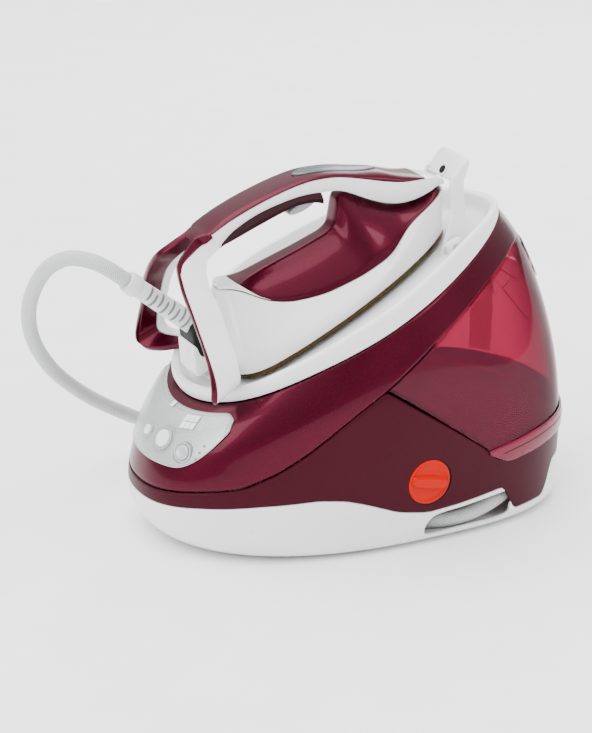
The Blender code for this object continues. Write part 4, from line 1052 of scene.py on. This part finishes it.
def make_soleplate():
    angles = body_angles(count=160)
    section = ((0.0, 0.004), (0.0, 0.002), (0.0004, 0.0008), (0.0014, 0.0), (0.005, 0.0), (0.0057, 0.0006))
    rows = in_iron_frame([[sole_point(a, z, inset) for a in angles] for z, inset in section])
    finish(solid("sole_face", rows), "sole", "iron", ("soleplate",), 40)


def skirt_ring(angle, share, inset):
    sole = sole_point(angle, 0.0, inset - 0.001)
    half_width, nose, heel, middle, nose_round, heel_round = SKIRT_PLAN
    x1, y1 = plan_point(-angle, half_width, -nose, -heel, -middle, nose_round, heel_round, inset)
    y1 = -y1
    top = rounded(y1, SKIRT_TOP, 0.008)
    bulge = 0.006 * math.sin(math.pi * share)
    x = sole.x + (x1 - sole.x) * share ** 1.4
    y = sole.y + (y1 - sole.y) * share ** 1.2
    return Vector((x + math.copysign(bulge, x) * abs(math.cos(angle)), y, 0.0063 + (top - 0.0063) * share))


def make_skirt():
    angles = body_angles(count=200)
    edge = ((0.0, 0.0012), (0.003, 0.0004), (0.01, 0.0))
    rows = [[skirt_ring(a, s, inset) for a in angles] for s, inset in edge]
    rows += [[skirt_ring(a, 0.01 + 0.98 * k / 20, 0.0) for a in angles] for k in range(1, 20)]
    rows += [[skirt_ring(a, 1 - s, inset) for a in angles] for s, inset in reversed(edge)]
    rows.append([skirt_ring(a, 0.995, 0.0022) for a in angles])
    rows += [[skirt_ring(a, k / 6, 0.0022) for a in angles] for k in (5, 3, 1, 0)]
    skirt = new_object("skirt_skin", grid_mesh("skirt_skin", in_iron_frame(rows), wrap_columns=True,
                                               wrap_rows=True))
    finish(skirt, "white", "iron", ("iron_skirt",), 40)


RIDGE = (
    (0.062, 0.07), (0.075, 0.0715), (0.085, 0.069), (0.11, 0.0682), (0.145, 0.0662), (0.176, 0.0655),
    (0.187, 0.072), (0.1915, 0.088), (0.2005, 0.0955), (0.225, 0.071), (0.241, 0.056), (0.261, 0.049),
    (0.294, 0.048))


def saddle_half_width(y):
    half_width, nose, heel, middle = SKIRT_PLAN[:4]
    reach = nose - middle if y > middle else middle - heel
    return half_width * math.sqrt(max(0.0, 1 - min(1.0, abs(y - middle) / reach) ** 2))


def saddle_half(y):
    """Half of the saddle's section, from its base line up to the ridge."""
    base = rounded(y, SKIRT_TOP, 0.008) + 0.001
    top = max(rounded(y, RIDGE, 0.006), base + 0.004)
    wide = max(saddle_half_width(y) - 0.0006, 0.003)
    narrow = min(wide * 0.8, 0.0125)
    rise = top - base
    half = [(wide, 0.0), (wide * 0.985, rise * 0.04), (wide * 0.9 + narrow * 0.1, rise * 0.2),
            (wide * 0.45 + narrow * 0.55, rise * 0.6), (narrow, rise * 0.88), (narrow * 0.6, rise * 0.985),
            (0.0, rise)]
    return [Vector((x, y, base + z)) for x, z in flat_spline(half, 4)]


def both_sides(half):
    return half + [Vector((-p.x, p.y, p.z)) for p in reversed(half[:-1])]


def make_saddle_root():
    """The white rear end of the body, which meets the burgundy saddle in a pointed line."""
    rows = []
    for k in range(12):
        half = []
        for j in range(25):
            below = max(0.0, 0.75 - j / 24) / 0.75
            end = 0.0745 + 0.018 * below ** 2
            y = 0.059 + (end - 0.059) * k / 11
            lower = 0.0042 * max(0.0, 1 - (y - 0.059) / 0.014) * j / 24
            half.append(saddle_half(y)[j] + Vector((0.0005 if j < 24 else 0.0, 0.0, 0.0005 - lower)))
        rows.append(both_sides(half))
    finish(solid("saddle_root", in_iron_frame(rows)), "white", "iron", (), 50)


def make_saddle():
    rows = [both_sides(saddle_half(y)) for y in np.linspace(0.0738, 0.289, 90)]
    make_saddle_root()
    finish(solid("saddle_skin", in_iron_frame(rows)), "burgundy", "iron", ("iron_saddle",), 50)


HANDLE = (
    (0.07, 0.1305, 0.128, 0.112), (0.09, 0.1335, 0.13, 0.119), (0.115, 0.134, 0.1303, 0.1212),
    (0.14, 0.1325, 0.129, 0.119), (0.162, 0.13, 0.1262, 0.1145), (0.18, 0.1262, 0.1217, 0.1078),
    (0.2, 0.118, 0.113, 0.0975), (0.222, 0.1055, 0.0983, 0.0755), (0.242, 0.094, 0.084, 0.06),
    (0.26, 0.0805, 0.0735, 0.053), (0.278, 0.0685, 0.0665, 0.051))
NOSE = ((0.29, 0.0595, 0.05), (0.2985, 0.0515, 0.046))
COVER_END = ((0.065, 0.1302, 0.1276, 0.8), (0.0585, 0.1294, 0.127, 0.56), (0.054, 0.1282, 0.1264, 0.36))
GRIP = (
    (0.073, 0.1095), (0.085, 0.1075), (0.11, 0.107), (0.135, 0.1062), (0.155, 0.1045), (0.172, 0.0985),
    (0.18, 0.093))
HANDLE_HALF = 0.02


def handle_rows(rows, steps=8):
    """Smooth rows between the handle's sections."""
    count = len(rows[0])
    columns = [spline([row[k] for row in rows], steps) for k in range(count)]
    return [[column[i] for column in columns] for i in range(len(columns[0]))]


def mirrored(half, y):
    return [Vector((x, y, z)) for x, z in half] + [Vector((-x, y, z)) for x, z in reversed(half)]


def cover_half(foot, wide, low, crown):
    """Half of the cover's section, from its foot up to the crown."""
    rise = crown - low
    return flat_spline([(foot, low), (wide, low + rise * 0.22), (wide * 0.9, low + rise * 0.58),
                        (wide * 0.6, low + rise * 0.88), (wide * 0.2, crown)], 4)


def cover_sections():
    sections = []
    for y, crown, low, share in reversed(COVER_END):
        wide = HANDLE_HALF * share
        sections.append(mirrored(cover_half(wide * 0.97, wide, low, crown), y))
    wide = HANDLE_HALF - 0.0006
    for y, crown, top, _ in HANDLE:
        sections.append(mirrored(cover_half(wide - 0.0006, wide, top + 0.0003, crown), y))
    return sections


def band_sections():
    sections = []
    for y, top, bottom in [(y, top, bottom) for y, _, top, bottom in HANDLE] + list(NOSE):
        wide = HANDLE_HALF * (1.0 if y < 0.27 else 1.0 - ((y - 0.27) / 0.034) ** 2 * 0.75)
        half = flat_spline([(wide * 0.8, bottom), (wide * 0.9, bottom + 0.0012), (wide, (top + bottom) / 2),
                            (wide * 0.985, top - 0.001), (wide * 0.95, top)], 4)
        sections.append(mirrored(half, y))
    return sections


def grip_sections():
    sections = []
    for y, bottom in GRIP:
        top = table_at(HANDLE, y, 3) - 0.0003
        half = flat_spline([(0.0165, top), (0.016, (top + bottom) / 2), (0.0112, bottom + 0.0014),
                            (0.0035, bottom)], 5)
        sections.append(mirrored(half, y))
    return sections


def iron_place():
    """Where the iron's own frame lies in the world."""
    return Matrix.Translation(IRON_ORIGIN) @ Matrix.Rotation(SLOPE, 4, "X")


def make_handle():
    pieces = (("handle_top", cover_sections(), "burgundy", "handle_cover"),
              ("handle_side", band_sections(), "white", "handle_band"),
              ("handle_under", grip_sections(), "burgundy_grip", "handle_grip"))
    for name, rows, shade, cad in pieces:
        item = solid(name, in_iron_frame(handle_rows(rows)))
        if name == "handle_under":
            slot_mesh = block("trigger_slot", (-0.0078, 0.143, 0.09), (0.0078, 0.19, 0.1105))
            slot_mesh.transform(iron_place())
            cut(item, slot_mesh)
        finish(item, shade, "iron", (cad,), 50)
    make_inlay()


def make_inlay():
    rows = []
    for k in range(41):
        share = -1 + 2 * k / 40
        y = 0.205 + share * 0.0385
        wide = 0.0108 * math.sqrt(max(0.012, 1 - abs(share) ** 2.4))
        low = table_at(HANDLE, y, 1) - 0.0006
        half = [(wide, low), (wide * 0.96, low + 0.0012), (wide * 0.7, low + 0.0019),
                (wide * 0.3, low + 0.0022)]
        rows.append(mirrored(half, y))
    finish(solid("inlay_skin", in_iron_frame(rows)), "inlay", "iron", ("handle_inlay",), 50)


def pillow(name, outline, centre, half_width, ends, along=1.0):
    """A solid across X with softened ends: ends lists (share of the half width, size of the outline there)
    from the end inwards, and along tells how much of that change the Y direction takes."""
    cy, cz = centre
    dense = flat_spline(outline, 4, True)
    rows = []
    for share, size in [(-s, size) for s, size in ends] + [(s, size) for s, size in reversed(ends) if s]:
        rows.append([Vector((share * half_width, cy + (y - cy) * (1 - along + along * size),
                             cz + (z - cz) * size)) for y, z in dense])
    return solid(name, in_iron_frame(rows))


def make_trigger():
    outline = ((0.1475, 0.1), (0.152, 0.0972), (0.16, 0.0958), (0.168, 0.0962), (0.1785, 0.099),
               (0.1785, 0.107), (0.17, 0.104), (0.152, 0.1032))
    ends = ((1, 0.8), (0.96, 0.93), (0.85, 1.0))
    key = pillow("trigger_key", outline, (0.163, 0.1015), 0.007, ends, 0.3)
    finish(key, "grey", "trigger", ("steam_trigger",), 50)


LEG_REAR = (
    (0.008, 0.0685, 0.13), (0.011, 0.056, 0.1285), (0.0155, 0.044, 0.1255), (0.0215, 0.032, 0.1215),
    (0.029, 0.027, 0.1165), (0.036, 0.0235, 0.1105), (0.0435, 0.02, 0.1029), (0.0547, 0.0157, 0.0901),
    (0.0634, 0.0118, 0.0764), (0.0715, 0.0084, 0.0628), (0.0805, 0.0046, 0.0495), (0.0865, 0.0009, 0.0371),
    (0.0885, -0.0029, 0.0264), (0.0855, -0.0055, 0.018), (0.0775, -0.0045, 0.0125), (0.065, 0.0025, 0.0105),
    (0.05, 0.015, 0.0105), (0.036, 0.0255, 0.0115))
LEG_FRONT = (
    (0.017, 0.0685, 0.113), (0.0192, 0.062, 0.1112), (0.0218, 0.0565, 0.109), (0.0252, 0.0525, 0.106),
    (0.03, 0.049, 0.102), (0.037, 0.0455, 0.0965), (0.045, 0.0428, 0.09), (0.056, 0.0403, 0.0801),
    (0.0652, 0.0362, 0.068), (0.0735, 0.0322, 0.056), (0.0805, 0.029, 0.045), (0.084, 0.0262, 0.035),
    (0.0838, 0.024, 0.027), (0.079, 0.024, 0.02), (0.071, 0.027, 0.016), (0.061, 0.031, 0.014),
    (0.05, 0.034, 0.013), (0.039, 0.032, 0.013))
ROOT_REAR = (
    (0.0165, 0.076, 0.1282), (0.0165, 0.071, 0.1284), (0.0138, 0.064, 0.1288), (0.0112, 0.056, 0.1285),
    *LEG_REAR[2:5])
ROOT_FRONT = (
    (0.018, 0.076, 0.1142), (0.0192, 0.071, 0.1126), (0.0197, 0.0665, 0.1116), (0.0196, 0.062, 0.111),
    *LEG_FRONT[2:5])


def leg_layer(name, profile, sign, lines=(LEG_REAR, LEG_FRONT), width=None, sink=0.0):
    """One layer of a leg band.

    profile lists (share from the rear to the front edge, depth inwards from the outer face), lines are the
    two edges, width scales the shares along the band and sink lowers its two ends."""
    rears, fronts = (spline(line, 7) for line in lines)
    rows = []
    last = len(rears) - 1
    for i, (rear, front) in enumerate(zip(rears, fronts)):
        before = rears[max(i - 2, 0)] + fronts[max(i - 2, 0)]
        after = rears[min(i + 2, last)] + fronts[min(i + 2, last)]
        across = front - rear
        inward = across.normalized().cross((after - before).normalized()).normalized()
        along = i / last
        scale = width(along) if width else 1.0
        low = sink * max(along ** 2, max(0.0, 1 - along / 0.22) ** 2)
        points = [rear + across * share * scale + inward * (depth + low) for share, depth in profile]
        rows.append([Vector((sign * p.x, p.y, p.z)) for p in points])
    return solid(name, in_iron_frame(rows))


def fold_width(along):
    return smooth(along, (0.0, 0.5, 0.6, 0.68, 0.735, 0.8, 1.0), (0.02, 0.03, 0.09, 0.15, 0.12, 0.03, 0.02))


def shoulder_width(along):
    return smooth(along, (0.0, 0.16, 0.36, 0.6, 0.82, 1.0), (0.1, 0.24, 0.4, 0.34, 0.16, 0.04))


def make_legs():
    """A white band with a lip along its front edge; the burgundy lining shows along the rear edge."""
    cover = [(0.03, 0.0008)] + [(k / 8, 0.0006 * (2 * k / 8 - 1) ** 2) for k in range(1, 8)]
    cover += [(0.975, 0.0008), (1.0, 0.002), (1.0, 0.0048), (0.975, 0.006), (0.9, 0.0064), (0.74, 0.0064),
              (0.7, 0.006), (0.68, 0.005), (0.67, 0.0029), (0.35, 0.0029), (0.03, 0.0029)]
    lining = [(-0.03, 0.001), (-0.01, 0.0004), (0.015, 0.0004), (0.022, 0.0014), (0.022, 0.0032),
              (0.32, 0.0034), (0.64, 0.0034), (0.655, 0.004), (0.64, 0.0062), (0.32, 0.0062),
              (0.0, 0.0062), (-0.03, 0.0052)]
    root = [(0.03, -0.0004)] + [(k / 8, -0.0006) for k in range(1, 8)]
    root += [(0.985, -0.0002), (1.006, 0.0012), (1.0, 0.0046), (0.9, 0.0058), (0.7, 0.0056), (0.6, 0.003),
             (0.03, 0.0028)]
    shoulder = [(-0.1, 0.0024), (-0.08, 0.0004)] + [(k / 8, -0.0012) for k in range(0, 8)]
    shoulder += [(0.985, -0.001), (1.0, -0.0004), (0.6, 0.002)]
    fold = ((-1.0, 0.0034), (-0.8, 0.0016), (0.0, 0.001), (0.0, 0.004), (-0.8, 0.0052))
    edges, root_edges = (LEG_REAR, LEG_FRONT), (ROOT_REAR, ROOT_FRONT)
    layers = (("root", root, (root_edges, None, 0.0012), "white", None, 50),
              ("shoulder", shoulder, (root_edges, shoulder_width, 0.0014), "burgundy", None, 50),
              ("outer", cover, (), "white", "leg_cover", 45),
              ("fold", fold, (edges, fold_width), "burgundy", None, 60),
              ("inner", lining, (), "burgundy", "leg_liner", 45))
    for side, sign in (("right", 1), ("left", -1)):
        for layer, profile, extra, shade, cad, sharp in layers:
            item = leg_layer(f"leg_{layer}_{side}", profile, sign, *extra)
            finish(item, shade, "iron", (f"{cad}_{side}",) if cad else (), sharp)


RELIEF_START = Vector((0.0, 0.0285, 0.047))
RELIEF_END = Vector((0.0, -0.0122, 0.1221))


def make_heel():
    outline = ((0.006, 0.0135), (0.0165, 0.0128), (0.027, 0.0135), (0.035, 0.031), (0.044, 0.052),
               (0.033, 0.055), (0.02, 0.056), (0.013, 0.035))
    ends = ((1, 0.84), (0.97, 0.93), (0.88, 0.99), (0, 1.0))
    finish(pillow("heel_skin", outline, (0.025, 0.034), 0.0165, ends), "black", "iron", ("heel_block",), 50)
    outline = ((0.0052, 0.0128), (0.0165, 0.012), (0.0276, 0.0127), (0.0315, 0.0215), (0.023, 0.0225),
               (0.0155, 0.03), (0.015, 0.04), (0.0132, 0.04), (0.0102, 0.031))
    ends = ((1, 0.86), (0.96, 0.98), (0.86, 1.01), (0, 1.02))
    finish(pillow("heel_shoe", outline, (0.02, 0.026), 0.0178, ends), "white", "iron", (), 50)
    make_strain_relief()


def make_strain_relief():
    """A smooth tapered sleeve with a plain collar at the end; its short slits on two sides are dark arcs laid
    on the surface, painted shade of the slits, not cuts.
    """
    axis = (RELIEF_END - RELIEF_START).normalized()
    profile = ((-0.01, 0.007), (0.0, 0.007), (0.0008, 0.009), (0.0016, 0.0096), (0.004, 0.0098),
               (0.03, 0.0092), (0.06, 0.0086), (0.0715, 0.0085), (0.0722, 0.008), (0.0734, 0.008),
               (0.074, 0.0098), (0.075, 0.0103), (0.0825, 0.0101), (0.0856, 0.0094), (0.0862, 0.0078))
    relief = round_solid("relief_skin", RELIEF_START, axis, profile, 64)
    relief.data.transform(iron_place())
    finish(relief, "relief", "iron", ("strain_relief",), 40)
    # Dark arcs stand for the slits: painted shade, the sleeve itself is not cut.
    for number in range(8):
        for side in (0, 1):
            along = 0.0165 + 0.0066 * number
            radius = 0.0096 - 0.014 * along
            turn = math.pi * side + (0.3 if number % 2 else -0.3)
            slit = slit_mesh(f"relief_slit_{number}_{side}", axis, along, radius, turn)
            slit.transform(iron_place())
            finish(new_object(slit.name, slit), "ink_and_slit_shade", "iron", (), 50)


def slit_mesh(name, axis, along, radius, turn):
    """A thin dark arc laid into the sleeve: the painted shade of one slit."""
    across = Vector((1, 0, 0))
    other = axis.cross(across)
    rows = []
    for k in range(17):
        angle = turn + math.radians(-52 + 104 * k / 16)
        out = across * math.cos(angle) + other * math.sin(angle)
        half = 0.0012 * math.sqrt(max(0.1, 1 - ((k - 8) / 8) ** 4))
        middle = RELIEF_START + axis * along
        rows.append([middle + axis * a + out * (radius + lift)
                     for a, lift in ((-half, -0.0008), (-half, 0.0002), (half, 0.0002), (half, -0.0008))])
    return solid_mesh(name, rows)


# ---- run

M = make_materials()
make_camera()
make_hose()
make_stage()
make_pan()
make_side_cover()
make_upper_cover()
make_tray()
make_kept_nodes()
make_panel()
make_deck()
make_tank()
make_collector()
make_bail()
make_soleplate()
make_skirt()
make_saddle()
make_handle()
make_trigger()
make_legs()
make_heel()
